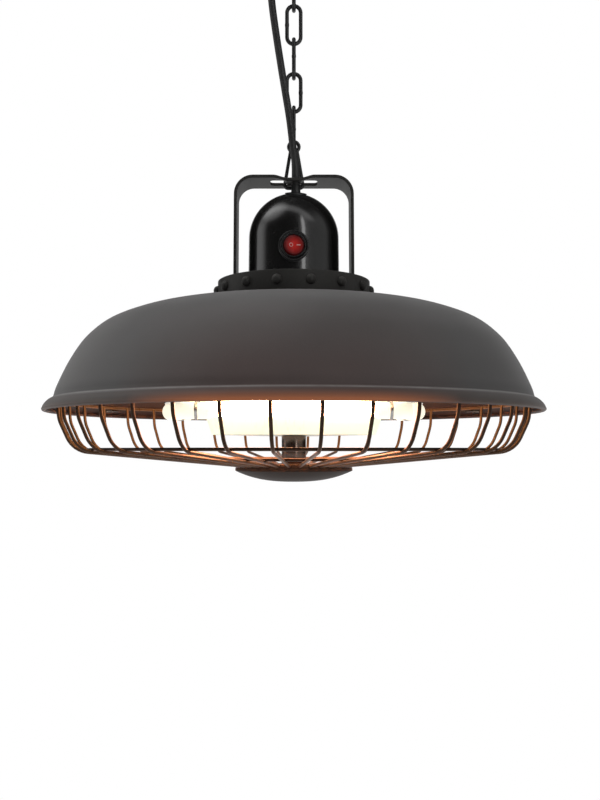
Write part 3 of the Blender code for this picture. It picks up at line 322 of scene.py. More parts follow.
def paint_light_on_shade(net):
    """Painted light on the shade: the inner side tinted as painted lamplight and shade, the lip darkened
    below the crease as painted shade, painted warmth near the rim and on the lower front, a painted highlight
    along the crease and a painted glow on the lip.
    """
    facing_in = net.spread(net.outwards(), 0.02, -0.10)
    inner = net.maths("MAXIMUM", facing_in, net.spread(net.upwards(), -0.75, -0.95))
    level = net.parts(net.point())[2]
    ahead = net.times(net.parts(net.away())[1], -1.0)
    painted_front_warmth = net.times(net.spread(level, crease_z + 0.080, crease_z + 0.018), net.spread(ahead, 0.78, 0.98))
    colour = net.colour
    # Painted shade on the lip below the crease, painted warm light near the rim, and painted warm light on
    # the lower front
    for share, tint in (
        (net.spread(level, crease_z - 0.0006, crease_z - 0.0022), (0.78, 0.70, 0.66)),
        (net.spread(level, crease_z - 0.006, rim_z), (1.20, 1.04, 0.94)),
        (painted_front_warmth, (0.90, 0.64, 0.60)),
    ):
        colour = net.tinted(share, colour, tint)
    # A painted highlight along the crease, broken up by a noise
    painted_crease_highlight = net.spread(net.off(level, crease_z + 0.0001), 0.0008, 0.0003)
    painted_crease_highlight = net.times(painted_crease_highlight, net.patches(60, 0.55, 1.0))
    colour = net.mixed(painted_crease_highlight, colour, (0.145, 0.135, 0.130))
    # A painted orange glow on the lower lip at the front, given as emission though the shade is no lamp
    painted_lip_glow = net.maths("POWER", net.spread(level, crease_z - 0.001, rim_z), 1.6)
    painted_lip_glow = net.times(painted_lip_glow, net.spread(ahead, 0.84, 0.96), net.maths("SUBTRACT", 1.0, inner), 0.19)
    # The inner side and the undersides tinted dark orange as painted lamplight and painted shade
    net.give({
        "Base Color": net.tinted(inner, colour, (0.50, 0.23, 0.13)),
        "Emission Color": (1.0, 0.27, 0.05),
        "Emission Strength": painted_lip_glow,
        "Sheen Weight": 0.10,
        "Sheen Roughness": 0.35,
    })


def paint_light_on_guard(net):
    """The wires with painted shade on their outward faces and a painted warm glow where they face the lamps.
    """
    outwards = net.outwards()
    # Painted shade darkens the outward faces, and a painted glow given as emission lights the faces towards
    # the lamps
    dark = net.spread(outwards, 0.05, 0.75, 0.0, 0.65)
    painted_glow_facing_lamps = net.times(net.spread(outwards, -0.02, -0.50), net.spread(outwards, -1.0, -0.5, 0.35, 1.0))
    net.give({
        "Base Color": net.mixed(dark, net.colour, (0.012, 0.009, 0.008)),
        "Specular Tint": (0.70, 0.38, 0.22),
        "Emission Color": (1.0, 0.36, 0.10),
        "Emission Strength": net.times(painted_glow_facing_lamps, 0.22),
    })


def paint_glow_on_holder(net):
    """Ceramic with a painted glow that stands in for the light of the lamp it holds."""
    cloud = net.noisy(net.point(), 90)
    net.give({
        "Emission Color": net.mixed(cloud, (1.0, 0.90, 0.66), (1.0, 0.97, 0.80)),
        "Emission Strength": 0.85,
    })


def paint_glow_on_core(net):
    """A painted glow in streaks on the box's upright sides, standing in for the light of the lamps beside
    them.
    """
    painted_glow_streak = net.patches(90, 0.36, 0.54, long_grain)
    upright_side = net.spread(net.maths("ABSOLUTE", net.upwards()), 0.9, 0.6)
    net.give({"Emission Color": (0.80, 1.0, 0.66), "Emission Strength": net.times(painted_glow_streak, upright_side)})


def cord_finish():
    """Matt sheath with the faint lengthwise drawing lines of an extruded cable."""
    net = Finish("cord_black")
    lines = net.noisy(net.out("ShaderNodeMapping", {"Vector": net.run(), "Scale": (26, 3, 1)}), 4.0)
    net.give({
        "Base Color": net.mixed(net.patches(45), (0.010, 0.010, 0.010), (0.019, 0.019, 0.019)),
        "Roughness": net.widened(lines, 0.42, 0.58),
        "Normal": net.bump(lines, 0.00006, 0.5),
    })


def hammered_finish():
    """Bright stucco-rolled aluminium, its grain finer than the hammered dents of the sheet itself, with a
    painted golden glow for the lamps' light on its underside.
    """
    net = Finish("reflector_aluminium")
    point = net.point()
    cells = {"Vector": point, "Scale": 420.0}
    cells = net.put(net.add("ShaderNodeTexVoronoi", cells, feature="SMOOTH_F1"), {"Smoothness": 0.6})
    cell = cells.outputs["Distance"]
    cloud = net.noisy(point, 30)
    # A painted golden glow, given as emission, on the underside where the lamps shine, brightest in the
    # middles of the dents
    painted_glow_underside = net.spread(net.upwards(), -0.3, -0.8)
    net.give({
        "Base Color": net.mixed(net.widened(cloud), (0.70, 0.67, 0.60), (0.86, 0.84, 0.78)),
        "Roughness": net.widened(cloud, 0.20, 0.34),
        "Normal": net.bump(cell, 0.0008, 0.9),
        "Metallic": 1,
        "Emission Color": (1.0, 0.86, 0.58),
        "Emission Strength": net.times(painted_glow_underside, net.spread(cell, 0.0, 0.55, 0.30, 0.04)),
    })


def rocker_finish():
    """Clear red moulding, lit a little from inside by the lamp that shows the heater is on."""
    net = Finish("rocker_red")
    # The colour darker towards the edge as painted shade, where the light of the lamp inside falls off; its
    # glow fades the same way
    edge = net.spread(net.parts(net.run())[0], 0.25, 0.92)
    net.give({
        "Base Color": net.mixed(edge, (0.42, 0.020, 0.016), (0.10, 0.010, 0.010)),
        "Roughness": net.patches(260, 0.30, 0.42),
        "Specular IOR Level": 0.12,
        "Emission Color": net.mixed(edge, (0.55, 0.020, 0.018), (0.04, 0.001, 0.001)),
        "Emission Strength": 0.20,
    })


def mark_finish():
    """Pale print on the rocker."""
    net = Finish("mark_print")
    net.give({
        "Base Color": net.mixed(net.noisy(net.point(), 900), (0.66, 0.42, 0.40), (0.80, 0.60, 0.58)),
        "Roughness": 0.5,
    })


def lamp_finish():
    """A glowing tube, hottest in the middle of its length, which its run map gives."""
    net = Finish("lamp_glass")
    share = net.maths("POWER", net.spread(net.off(net.parts(net.run())[1], 0.5), 0.36, 0.5), 1.5)
    fading = net.maths("SUBTRACT", 1.0, net.times(share, 0.85))
    net.give({
        "Base Color": (0.9, 0.85, 0.75),
        "Roughness": 0.08,
        "Emission Color": net.mixed(share, (1.0, 0.48, 0.26), (1.0, 0.34, 0.15)),
        "Emission Strength": net.times(net.patches(600, 0.92, 1.0), fading, lamp_strength),
    })


coated("ceiling_black", (0.014, 0.014, 0.014), (0.026, 0.026, 0.026), 0.42, grain=900, speckle=0.1)
coated("chain_black", (0.012, 0.012, 0.012), (0.03, 0.03, 0.03), 0.36, 0.2, grain=500, blotch=60)
coated(
    "bracket_black", (0.022, 0.0212, 0.0198), (0.040, 0.0385, 0.036), 0.50, grain=1100, speckle=0.08,
    specular=0.2,
)
coated(
    "dome_gloss", (0.0040, 0.0038, 0.0036), (0.0065, 0.0062, 0.0060), 0.26, grain=160, depth=0.000012,
    coat=0.7, coat_roughness=0.07, swing=0.03,
)
coated("gland_black", (0.010, 0.010, 0.010), (0.02, 0.02, 0.02), 0.45, grain=800)
coated("switch_black", (0.007, 0.007, 0.007), (0.014, 0.014, 0.014), 0.30, grain=600, depth=0.00001)
coated(
    "zinc_steel", (0.42, 0.42, 0.42), (0.62, 0.62, 0.60), 0.32, 1.0, grain=300, depth=0.00002,
    stretch=(1, 1, 8),
)
coated("plate_grey", (0.030, 0.030, 0.031), (0.050, 0.050, 0.051), 0.5, 0.1, grain=900, speckle=0.1)
coated("terminal_cream", (0.66, 0.63, 0.56), (0.78, 0.76, 0.70), 0.5, grain=500)
coated("lead_red", (0.22, 0.035, 0.02), (0.34, 0.06, 0.035), 0.6, grain=1200, stretch=(1, 1, 0.4))
coated("harness_sleeve", (0.62, 0.59, 0.50), (0.84, 0.82, 0.74), 0.85, grain=1500, depth=0.0002)
paint_light_on_shade(coated(
    "shade_graphite", (0.054, 0.0520, 0.0515), (0.079, 0.0765, 0.0755), 0.60, grain=1250, depth=0.00009,
    blotch=7, speckle=0.16, specular=0.45,
))
coated(
    "post_steel", (0.12, 0.088, 0.070), (0.21, 0.165, 0.138), 0.20, 1.0, grain=260, depth=0.00002,
    stretch=(6, 6, 0.12),
)
paint_glow_on_holder(coated(
    "holder_ceramic", (0.72, 0.69, 0.62), (0.84, 0.82, 0.77), 0.65, grain=1400, depth=0.00006
))
paint_light_on_guard(coated(
    "guard_bronze", (0.055, 0.034, 0.023), (0.105, 0.066, 0.044), 0.32, 0.35, blotch=40, swing=0.1,
    specular=0.2,
))
coated(
    "dish_anthracite", (0.022, 0.0145, 0.0115), (0.034, 0.024, 0.0195), 0.58, grain=1300, depth=0.00006,
    blotch=18, speckle=0.1, specular=0.1,
)
paint_glow_on_core(coated(
    "core_bright", (0.78, 0.77, 0.64), (0.88, 0.87, 0.76), 0.30, 1.0, grain=300, depth=0.00002,
    stretch=long_grain, swing=0.05,
))
cord_finish()
hammered_finish()
rocker_finish()
mark_finish()
lamp_finish()


# ---- shape helpers
def shown(name, mesh):
    thing = bpy.data.objects.new(name, mesh)
    scene.collection.objects.link(thing)
    return thing


def finished(name, shape):
    """A shape under work as a plain mesh in the scene."""
    mesh = bpy.data.meshes.new(name)
    shape.to_mesh(mesh)
    shape.free()
    return shown(name, mesh)


def faced(thing, up_at_top=False):
    """Doubles merged and faces turned outwards; on an open sheet the highest faces look up."""
    shape = bmesh.new()
    shape.from_mesh(thing.data)
    bmesh.ops.remove_doubles(shape, verts=shape.verts, dist=merge_distance)
    bmesh.ops.recalc_face_normals(shape, faces=shape.faces)
    shape.normal_update()
    if up_at_top:
        top = max(shape.faces, key=lambda face: face.calc_center_median().z + 0.001 * abs(face.normal.z))
        if top.normal.z < 0:
            bmesh.ops.reverse_faces(shape, faces=shape.faces)
    shape.to_mesh(thing.data)
    shape.free()
    return thing


def baked(thing, name=None):
    """The piece as its modifiers leave it, a plain mesh with none left."""
    bpy.context.view_layer.update()
    mesh = bpy.data.meshes.new_from_object(thing.evaluated_get(bpy.context.evaluated_depsgraph_get()))
    name = name or thing.name
    bpy.data.objects.remove(thing)
    return shown(name, mesh)


def walled(sheet, thickness, even=False):
    """A sheet given its thickness on the inner side."""
    wall = sheet.modifiers.new("wall", "SOLIDIFY")
    wall.thickness = thickness
    wall.offset = -1
    wall.use_even_offset = even
    return baked(sheet)


def edged(name, points, closed=False, thickness=None):
    """A line of edges through points, with how thick a wire is at each."""
    edges = [(i, i + 1) for i in range(len(points) - 1)]
    if closed:
        edges.append((len(points) - 1, 0))
    mesh = bpy.data.meshes.new(name)
    mesh.from_pydata([tuple(point) for point in points], edges, [])
    layer = mesh.attributes.new("thickness", "FLOAT", "POINT")
    layer.data.foreach_set("value", list(thickness or [1.0] * len(points)))
    return shown(name, mesh)


def new_tree(name, **sizes):
    """A geometry tree with a shape, named sizes and a finish as its inputs."""
    tree = bpy.data.node_groups.new(name, "GeometryNodeTree")
    tree.is_modifier = True
    for label, kind in {"Shape": "Geometry", **sizes, "Finish": "Material"}.items():
        tree.interface.new_socket(
            label.replace("_", " "), in_out="INPUT", socket_type="NodeSocket" + kind
        )
    tree.interface.new_socket("Shape", in_out="OUTPUT", socket_type="NodeSocketGeometry")
    net = Net(tree)
    return net, net.add("NodeGroupInput").outputs


def end_tree(net, given, shape):
    """Instances made real and the finish set, as the last two steps of every tree."""
    real = net.out("GeometryNodeRealizeInstances", {0: shape})
    done = net.out("GeometryNodeSetMaterial", {"Geometry": real, "Material": given["Finish"]})
    net.add("NodeGroupOutput", {0: done})
    return net.tree


def swept(net, rail, profile, thickness=None):
    """A profile carried along a rail. A wire is closed at its ends and scaled by its thickness."""
    wire = thickness is not None
    ends = {"Curve": rail, "Profile Curve": profile, "Fill Caps": wire}
    sweep = net.add("GeometryNodeCurveToMesh", ends)
    if wire and "Scale" in sweep.inputs:
        net.put(sweep, {"Scale": thickness})
    return sweep.outputs[0]


def spun_tree():
    """A profile turned about Z: its points are (radius, height)."""
    net, given = new_tree("spun", Segments="Int")
    profile = net.out("GeometryNodeMeshToCurve", {"Mesh": given["Shape"]})
    profile = net.out("GeometryNodeTransform", {"Geometry": profile, "Translation": (-1, 0, 0)})
    rail = net.out("GeometryNodeCurvePrimitiveCircle", {"Resolution": given["Segments"], "Radius": 1.0})
    level = net.out("GeometryNodeSetCurveNormal", {"Curve": rail}, mode="Z_UP")
    body = {"Geometry": swept(net, level, profile), "Distance": merge_distance}
    return end_tree(net, given, net.out("GeometryNodeMergeByDistance", body))


def drawn_tree():
    """A round wire along a line of edges."""
    net, given = new_tree("drawn", Wire_Radius="Float", Sides="Int")
    line = net.out("GeometryNodeMeshToCurve", {"Mesh": given["Shape"]})
    thickness = net.out("GeometryNodeInputNamedAttribute", {"Name": "thickness"}, data_type="FLOAT")
    line = net.out("GeometryNodeSetCurveRadius", {"Curve": line, "Radius": thickness})
    circle = {"Resolution": given["Sides"], "Radius": given["Wire Radius"]}
    ring = net.out("GeometryNodeCurvePrimitiveCircle", circle)
    return end_tree(net, given, swept(net, line, ring, thickness))


def set_out_tree():
    """Copies of a shape, each moved by a step and turned about Z from the one before."""
    net, given = new_tree("set_out", Count="Int", Step="Vector", Start_Turn="Float", Turn="Float")
    number = net.out("GeometryNodeInputIndex")
    place = net.out("ShaderNodeVectorMath", {0: given["Step"], "Scale": number}, operation="SCALE")
    points = net.out("GeometryNodePoints", {"Count": given["Count"], "Position": place})
    turn = net.maths("ADD", net.times(number, given["Turn"]), given["Start Turn"])
    turned = net.out("ShaderNodeCombineXYZ", {"Z": turn})
    copies = {"Points": points, "Instance": given["Shape"], "Rotation": turned}
    return end_tree(net, given, net.out("GeometryNodeInstanceOnPoints", copies))


trees = {"spun": spun_tree(), "drawn": drawn_tree(), "set_out": set_out_tree()}


def made(thing, kind, slot, **sizes):
    """A shape run through one of the trees."""
    change = thing.modifiers.new(kind, "NODES")
    change.node_group = trees[kind]
    sizes["Finish"] = finishes[slot]
    for item in trees[kind].interface.items_tree:
        key = item.name.replace(" ", "_")
        if item.in_out == "INPUT" and key in sizes:
            change[item.identifier] = sizes[key]
    return baked(thing)


def spun(name, profile, slot, segments=96, wall=0.0, up_at_top=False):
    """A piece turned about Z from (radius, height) points, with a sheet's wall on its inner side."""
    closed = profile[0] == profile[-1]
    line = [(radius, -height, 0) for radius, height in (profile[:-1] if closed else profile)]
    piece = faced(made(edged(name, line, closed), "spun", slot, Segments=segments), up_at_top)
    return walled(piece, wall, even=True) if wall else piece


def drawn(name, points, radius, slot, sides=12, closed=False, thickness=None):
    """A round wire through points."""
    line = edged(name, points, closed, thickness)
    return made(line, "drawn", slot, Wire_Radius=radius, Sides=sides)


def set_out(thing, slot, count, turn, start=0.0, step=(0, 0, 0)):
    """Copies of one shape in one mesh."""
    return made(thing, "set_out", slot, Count=count, Step=step, Start_Turn=start, Turn=turn)


def joined(name, *things):
    """Several shapes as one mesh."""
    shape = bmesh.new()
    for thing in things:
        shape.from_mesh(thing.data)
    whole = finished(name + "_whole", shape)
    for thing in things:
        bpy.data.objects.remove(thing)
    whole.name = name
    return whole


def moved(thing, *matrices):
    for matrix in matrices:
        thing.data.transform(matrix)
    return thing


def at(x=0.0, y=0.0, z=0.0):
    return Matrix.Translation((x, y, z))


def combined(thing, operation, *tools):
    """A piece cut by tools, or joined to them."""
    for tool in tools:
        change = thing.modifiers.new(operation.lower(), "BOOLEAN")
        change.operation = operation
        change.solver = "EXACT"
        change.object = tool
    name = thing.name
    thing.name = name + "_blank"
    result = baked(thing, name)
    for tool in tools:
        bpy.data.objects.remove(tool)
    return result


def rod(radius, low, high, segments=24, x=0.0, y=0.0):
    """A plain round bar or cutter along Z."""
    shape = bmesh.new()
    bmesh.ops.create_cone(
        shape, cap_ends=True, segments=segments, radius1=radius, radius2=radius, depth=high - low
    )
    return moved(finished("rod", shape), at(x, y, (low + high) / 2))


def slab(size, centre, corner, steps=3, upright_only=False):
    """A box with rounded edges, or only its upright ones."""
    shape = bmesh.new()
    bmesh.ops.create_cube(shape, size=1)
    bmesh.ops.scale(shape, vec=Vector(size), verts=shape.verts)
    edges = list(shape.edges)
    if upright_only:
        edges = [edge for edge in edges if abs((edge.verts[0].co - edge.verts[1].co).z) > corner]
    if corner:
        bmesh.ops.bevel(shape, geom=edges, offset=corner, segments=steps, affect="EDGES", profile=0.5)
    return moved(finished("slab", shape), at(*centre))


def arc(centre, radius, start, end, steps):
    """Points on an arc, as (across, up) pairs."""
    turns = [start + (end - start) * i / steps for i in range(steps + 1)]
    return [(centre[0] + radius * math.cos(turn), centre[1] + radius * math.sin(turn)) for turn in turns]


def domed(radius, low, high, steps):
    """A round head's profile from beside its top, (0, high), down to its edge."""
    turns = [quarter_turn * i / steps for i in range(1, steps + 1)]
    return [(radius * math.sin(turn), low + (high - low) * math.cos(turn)) for turn in turns]


def rounded(corners, radii, steps=6, closed=False):
    """A path through corners, each bent to its own radius."""
    path = []
    for i, (corner, radius) in enumerate(zip(corners, radii)):
        here = Vector(corner)
        if radius == 0 or (not closed and i in (0, len(corners) - 1)):
            path.append(here)
            continue
        back = (Vector(corners[i - 1]) - here).normalized()
        on = (Vector(corners[(i + 1) % len(corners)]) - here).normalized()
        half = math.acos(max(-1, min(1, back.dot(on)))) / 2
        middle = here + (back + on).normalized() * (radius / math.sin(half))
        first = here + back * (radius / math.tan(half)) - middle
        second = here + on * (radius / math.tan(half)) - middle
        turn = first.angle(second)
        for step in range(steps + 1):
            near, far = math.sin((1 - step / steps) * turn), math.sin(step / steps * turn)
            path.append(middle + (first * near + second * far) / math.sin(turn))
    return [tuple(point) for point in path]


def section(corners, edge, steps=4):
    """A closed profile with its corners rounded, by one radius or each by its own."""
    radii = edge if isinstance(edge, list) else [edge] * len(corners)
    path = rounded(corners, radii, steps, closed=True)
    return path + [path[0]]


def through(points, steps):
    """A smooth curve through points, with even parts of each run."""
    spots = [Vector(point) for point in points]
    spots = [2 * spots[0] - spots[1], *spots, 2 * spots[-1] - spots[-2]]
    fine = []
    for a, b, c, d in zip(spots, spots[1:], spots[2:], spots[3:]):
        for t in [i / steps for i in range(steps)]:
            bent = b + (c - a) * (t / 2) + (2 * a - 5 * b + 4 * c - d) * (t * t / 2)
            fine.append(bent + (3 * b - a - 3 * c + d) * (t * t * t / 2))
    return fine + [spots[-2]]


def upright(pairs, along_y=False):
    """(across, up) pairs as points in the XZ plane, or in the YZ plane."""
    return [(0, across, up) if along_y else (across, 0, up) for across, up in pairs]


def bridged(shape, near, far):
    """Faces between two rings of corners."""
    count = len(near)
    return [
        shape.faces.new((near[i], near[(i + 1) % count], far[(i + 1) % count], far[i])) for i in range(count)
    ]


def directions(points):
    """Which way a path goes at each of its points."""
    spots = [Vector(point) for point in points]
    ends = zip([spots[0], *spots[:-1]], [*spots[1:], spots[-1]])
    return [(after - before).normalized() for before, after in ends]


def tube(name, points, radii, sides):
    """A mesh tube with closed ends and a run map: round it, and along it in shares of its length."""
    shape = bmesh.new()
    layer = shape.loops.layers.uv.new("run")
    along = directions(points)
    side = Vector((0, 1, 0)).cross(along[0]).normalized()
    rings, lengths, run = [], [], 0.0
    for i, (point, ahead) in enumerate(zip(points, along)):
        run += (point - points[i - 1]).length if i else 0.0
        lengths.append(run)
        side = (side - ahead * side.dot(ahead)).normalized()
        other = ahead.cross(side)
        circle = arc((0, 0), 1, 0, math.tau, sides)[:-1]
        rings.append([shape.verts.new(point + (side * x + other * y) * radii[i]) for x, y in circle])
    for i, (near, far) in enumerate(zip(rings, rings[1:])):
        for step, face in enumerate(bridged(shape, near, far)):
            corners = ((step, i), (step + 1, i), (step + 1, i + 1), (step, i + 1))
            for loop, (around, level) in zip(face.loops, corners):
                loop[layer].uv = (around / sides, lengths[level] / run)
    for ring, level in ((rings[0][::-1], 0.0), (rings[-1], 1.0)):
        for loop in shape.faces.new(ring).loops:
            loop[layer].uv = (0.5, level)
    return finished(name, shape)


def ribbon(name, path, ring, press=None):
    """A bent strip: a ring of (across, out) points along a path in the XZ plane, pressed down in places."""
    shape = bmesh.new()
    rings = []
    for (x, z), ahead in zip(path, directions(path)):
        rings.append([])
        for across, out in ring:
            spot = Vector((x, z)) + Vector((-ahead.y, ahead.x)) * out
            drop = press(spot.x, across, z) if press else 0
            rings[-1].append(shape.verts.new((spot.x, across, spot.y - drop)))
    for near, far in zip(rings, rings[1:]):
        bridged(shape, near, far)
    shape.faces.new(rings[0][::-1])
    shape.faces.new(rings[-1])
    return faced(finished(name, shape))


def run_map(thing, measure):
    """A run map on a piece, from what measure says of each corner's place."""
    layer = thing.data.uv_layers.new(name="run")
    for loop in thing.data.loops:
        layer.data[loop.index].uv = measure(thing.data.vertices[loop.vertex_index].co)
    return thing


def dressed(piece, slot, smooth=32):
    if not piece.data.materials:
        piece.data.materials.append(finishes[slot])
    for number in range(len(piece.data.materials)):
        piece.data.materials[number] = finishes[slot]
    piece.data.shade_smooth()
    piece.data.set_sharp_from_angle(angle=math.radians(smooth))


def fit(piece, body, slot, *nodes, smooth=32, own_finish=None):
    """A finished piece: its finish, the body that it rides on and the solids that it stands for."""
    dressed(piece, own_finish or slot, smooth)
    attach(piece, body)
    if nodes:
        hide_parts(*nodes)


def numbered(word, first, last):
    return [f"{word}_{number}" for number in range(first, last + 1)]


screw_turns = [quarter_turn + third_turn * i for i in range(3)]
bolt_hole_r, screw_hole = bolt_r + touch_gap, dome_screw_r + touch_gap
shared_holes = {
    "bolts": [(bolt_hole_r, 24, side * bolt_place, 0) for side in (-1, 1)],
    "screws": [
        (screw_hole, 20, dome_screw_place * math.cos(turn), dome_screw_place * math.sin(turn))
        for turn in screw_turns
    ],
    "harness": [(harness_hole_r, 28, harness_x, harness_y)],
}


def holes(low, high, *kinds):
    """Cutters for the holes that several pieces share, through a piece between two levels."""
    return [
        rod(radius, low - cut_overrun, high + cut_overrun, segments, x, y)
        for kind in kinds
        for radius, segments, x, y in shared_holes[kind]
    ]


# ---- supply cord
cord_route = (
    (0.0020, -0.0120, gland_mouth - 0.0025), (0.0020, -0.0121, gland_mouth + 0.0083),
    (0.0014, -0.0134, -0.2350), (-0.0007, -0.0147, -0.2200), (-0.0040, -0.0150, -0.1920),
    (-0.0085, -0.0146, -0.1640), (-0.0133, -0.0128, -0.1340), (-0.0178, -0.0100, -0.1040),
    (-0.0216, -0.0076, -0.0760), (-0.0237, -0.0061, -0.0530), (-0.0240, -0.0060, -0.0370),
)
route_steps = 6
cord_split = 5 * route_steps
cord_line = through(cord_route, route_steps)
lower_line, upper_line = cord_line[: cord_split + 1], cord_line[cord_split:]
heater_bend = {"start": (0, 0, -0.246), "end": (0, 0, -0.205)}
link_bend = {"start": (0, 0, -0.092), "end": (0, 0, -0.057)}


lower_cord = tube("power_cord_lower", lower_line, [cord_r] * len(lower_line), 24)
upper_cord = tube("power_cord_upper", upper_line, [cord_r] * len(upper_line), 24)
for piece, bodies, place in (
    (lower_cord, ("heater", "chain"), heater_bend),
    (upper_cord, ("chain", "first_link"), link_bend),
):
    dressed(piece, "cord_black")
    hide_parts("power_cord")
    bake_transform(piece)

sleeve_line = [cord_line[0].lerp(cord_line[route_steps], share / 6) for share in range(7)]
sleeve_line += cord_line[route_steps + 1 : 2 * route_steps + 1]
sleeve_line = [point for point in sleeve_line if point.z >= gland_mouth - 0.0004]
sleeve_taper = (sleeve_tip - sleeve_foot) / (sleeve_line[-1].z - sleeve_line[0].z)
sleeve_radii = [sleeve_foot + sleeve_taper * (point.z - sleeve_line[0].z) for point in sleeve_line]
sleeve = tube("cord_sleeve", sleeve_line, sleeve_radii, 28)
dressed(sleeve, "gland_black")
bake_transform(sleeve)

# ---- ceiling plate, cord fitting and hook
boss_low = -plate_t - boss_h
stem_top = boss_low + hook_stem
bore_r = hook_wire + touch_gap
plate_profile = rounded(
    [
        (0, 0), (plate_r, 0), (plate_r, -plate_t), (boss_r + 0.001, -plate_t), (boss_r, boss_low),
        (bore_r, boss_low), (bore_r, stem_top + touch_gap), (0, stem_top + touch_gap),
    ],
    [0, 0.0008, 0.0012, 0.0015, 0.0012, 0.0004, 0, 0],
)
plate = spun("ceiling_plate_turned", plate_profile, "ceiling_black", 128)
for side in (-1, 1):
    hole = rod(screw_hole_r, -plate_t - cut_overrun, cut_overrun, 32, 0, side * screw_hole_place)
    plate = combined(plate, "DIFFERENCE", hole)
fit(plate, "ceiling", "ceiling_black", "ceiling_plate")

fitting_top = -plate_t - touch_gap
fitting_profile = rounded(
    [
        (0, fitting_top), (0.009, fitting_top), (0.009, fitting_top - 0.002), (0.0065, fitting_top - 0.002),
        (0.0065, (fitting_top + fitting_mouth) / 2), (0.0053, fitting_mouth), (0.00455, fitting_mouth),
        (0.0049, fitting_mouth + 0.006), (0, fitting_mouth + 0.006),
    ],
    [0, 0.0005, 0.0005, 0.001, 0.004, 0.0003, 0.0003, 0, 0],
)
fitting = moved(spun("ceiling_cord_outlet", fitting_profile, "gland_black", 48), at(fitting_x, fitting_y))
fit(fitting, "ceiling", "gland_black", "ceiling_cord_fitting")

bowl_z = hook_z + hook_bowl
tip_turn = math.radians(20)
bowl = arc((0, bowl_z), hook_bowl, math.radians(125), math.tau + tip_turn, 40)
neck_z = bowl_z + hook_bowl + hook_neck
neck = [
    (bowl[0][0] * (3 - 2 * share) * share * share, neck_z + (bowl[0][1] - neck_z) * share)
    for share in [i / 10 for i in range(1, 10)]
]
tip_start, tip_reach, tip_shares = 0.1, 0.55, (0.35, 0.62, 0.82, 0.95, 1.0)
tip_ahead = Vector((-math.sin(tip_turn), math.cos(tip_turn))) * hook_wire
hook_points = [(0, stem_top), (0, neck_z)] + neck + bowl
hook_sizes = [1.0] * len(hook_points) + [math.sqrt(1 - share * share) + 0.02 for share in tip_shares]
hook_points += [tuple(Vector(bowl[-1]) + tip_ahead * (tip_start + tip_reach * share)) for share in tip_shares]
hook = drawn(
    "ceiling_hook_bent", upright(hook_points), hook_wire, "chain_black", 20, thickness=hook_sizes
)
fit(faced(hook), "ceiling", "chain_black", "ceiling_hook")

# ---- chain
link_half = link_width / 2 - link_wire
weld_places = (0.0022, 0.0012, 0.0005, -0.0005, -0.0012, -0.0022)
weld_sizes = [1.0, 1.07, 1.13, 1.13, 1.07, 1.0]


def link_shape(name, number, along_y):
    """One long link, its weld a slight swelling on one side."""
    top = first_link_z - number * link_pitch
    upper = arc((0, top - link_half), link_half, 0, math.pi, 14)
    lower = arc((0, top - link_span + link_half), link_half, math.pi, math.tau, 14)
    weld = [(-link_half, top - link_span / 2 + rise) for rise in weld_places]
    sizes = [1.0] * len(upper) + weld_sizes + [1.0] * len(lower)
    points = upright(upper + weld + lower, along_y)
    return drawn(name, points, link_wire, "chain_black", 14, closed=True, thickness=sizes)


fit(faced(link_shape("chain_top_link", 0, True)), "first_link", "chain_black", "chain_link_1")
links = link_shape("chain_links", 1, False)
links = set_out(links, "chain_black", link_count - 1, quarter_turn, step=(0, 0, -link_pitch))
fit(faced(links), "chain", "chain_black", *numbered("chain_link", 2, link_count))

# ---- wire loop in the bracket
neck_angle = -math.acos(loop_neck / loop_eye)
eye = arc((0, loop_top - loop_eye), loop_eye, neck_angle, math.pi - neck_angle, 30)
base = [eye[-1], (-loop_half, tilt_z), (loop_half, tilt_z), eye[0]]
base = rounded(base, [0, loop_corner, loop_corner, 0], 8)
loop = drawn("hanger_loop_bent", upright(eye + base[1:-1]), loop_wire, "chain_black", 16, closed=True)
fit(faced(loop), "chain", "chain_black", "hanger_loop")

# ---- strap bracket
half_strap = strap_t / 2
strap_edge = 0.0006
half_path = rounded(
    [
        (0, bar_top - half_strap), (strap_span / 2 - half_strap, bar_top - half_strap),
        (strap_foot_span / 2 - half_strap, foot_low + half_strap), (strap_reach, foot_low + half_strap),
    ],
    [0, strap_corner - half_strap, strap_bend - half_strap, 0],
    10,
)
half_path = [(dip_half * i / 16, bar_top - half_strap) for i in range(17)] + half_path[1:]
strap_path = [(-x, z) for x, z in reversed(half_path[1:])] + half_path
inner_width = strap_width / 2 - strap_edge
half_ring = [((-1 + 2 * i / 24) * inner_width, half_strap) for i in range(25)]
half_ring += arc((inner_width, half_strap - strap_edge), strap_edge, math.radians(60), 0, 2)
half_ring += arc((inner_width, strap_edge - half_strap), strap_edge, 0, math.radians(-60), 2)
strap_ring = half_ring + [(-across, -out) for across, out in half_ring]


def eased(value, low, high):
    share = min(1, max(0, (value - low) / (high - low)))
    return share * share * (3 - 2 * share)


def dip_at(x, y, path_z):
    """How far the bar is pressed down: widely at its front, narrowly between the slots, not at its rear."""
    if path_z <= bar_low - half_strap:
        return 0
    wide = 1 - eased(abs(x), saddle_half, dip_half)
    narrow = 1 - eased(abs(x), saddle_half, saddle_half + dip_side)
    front = eased(-y, slot_width / 2, strap_width / 2)
    rear = min(1, max(0, (1 - y / (strap_width / 2)) / (1 - dip_rear)))
    return saddle_dip * rear * (wide * front + narrow * (1 - front))


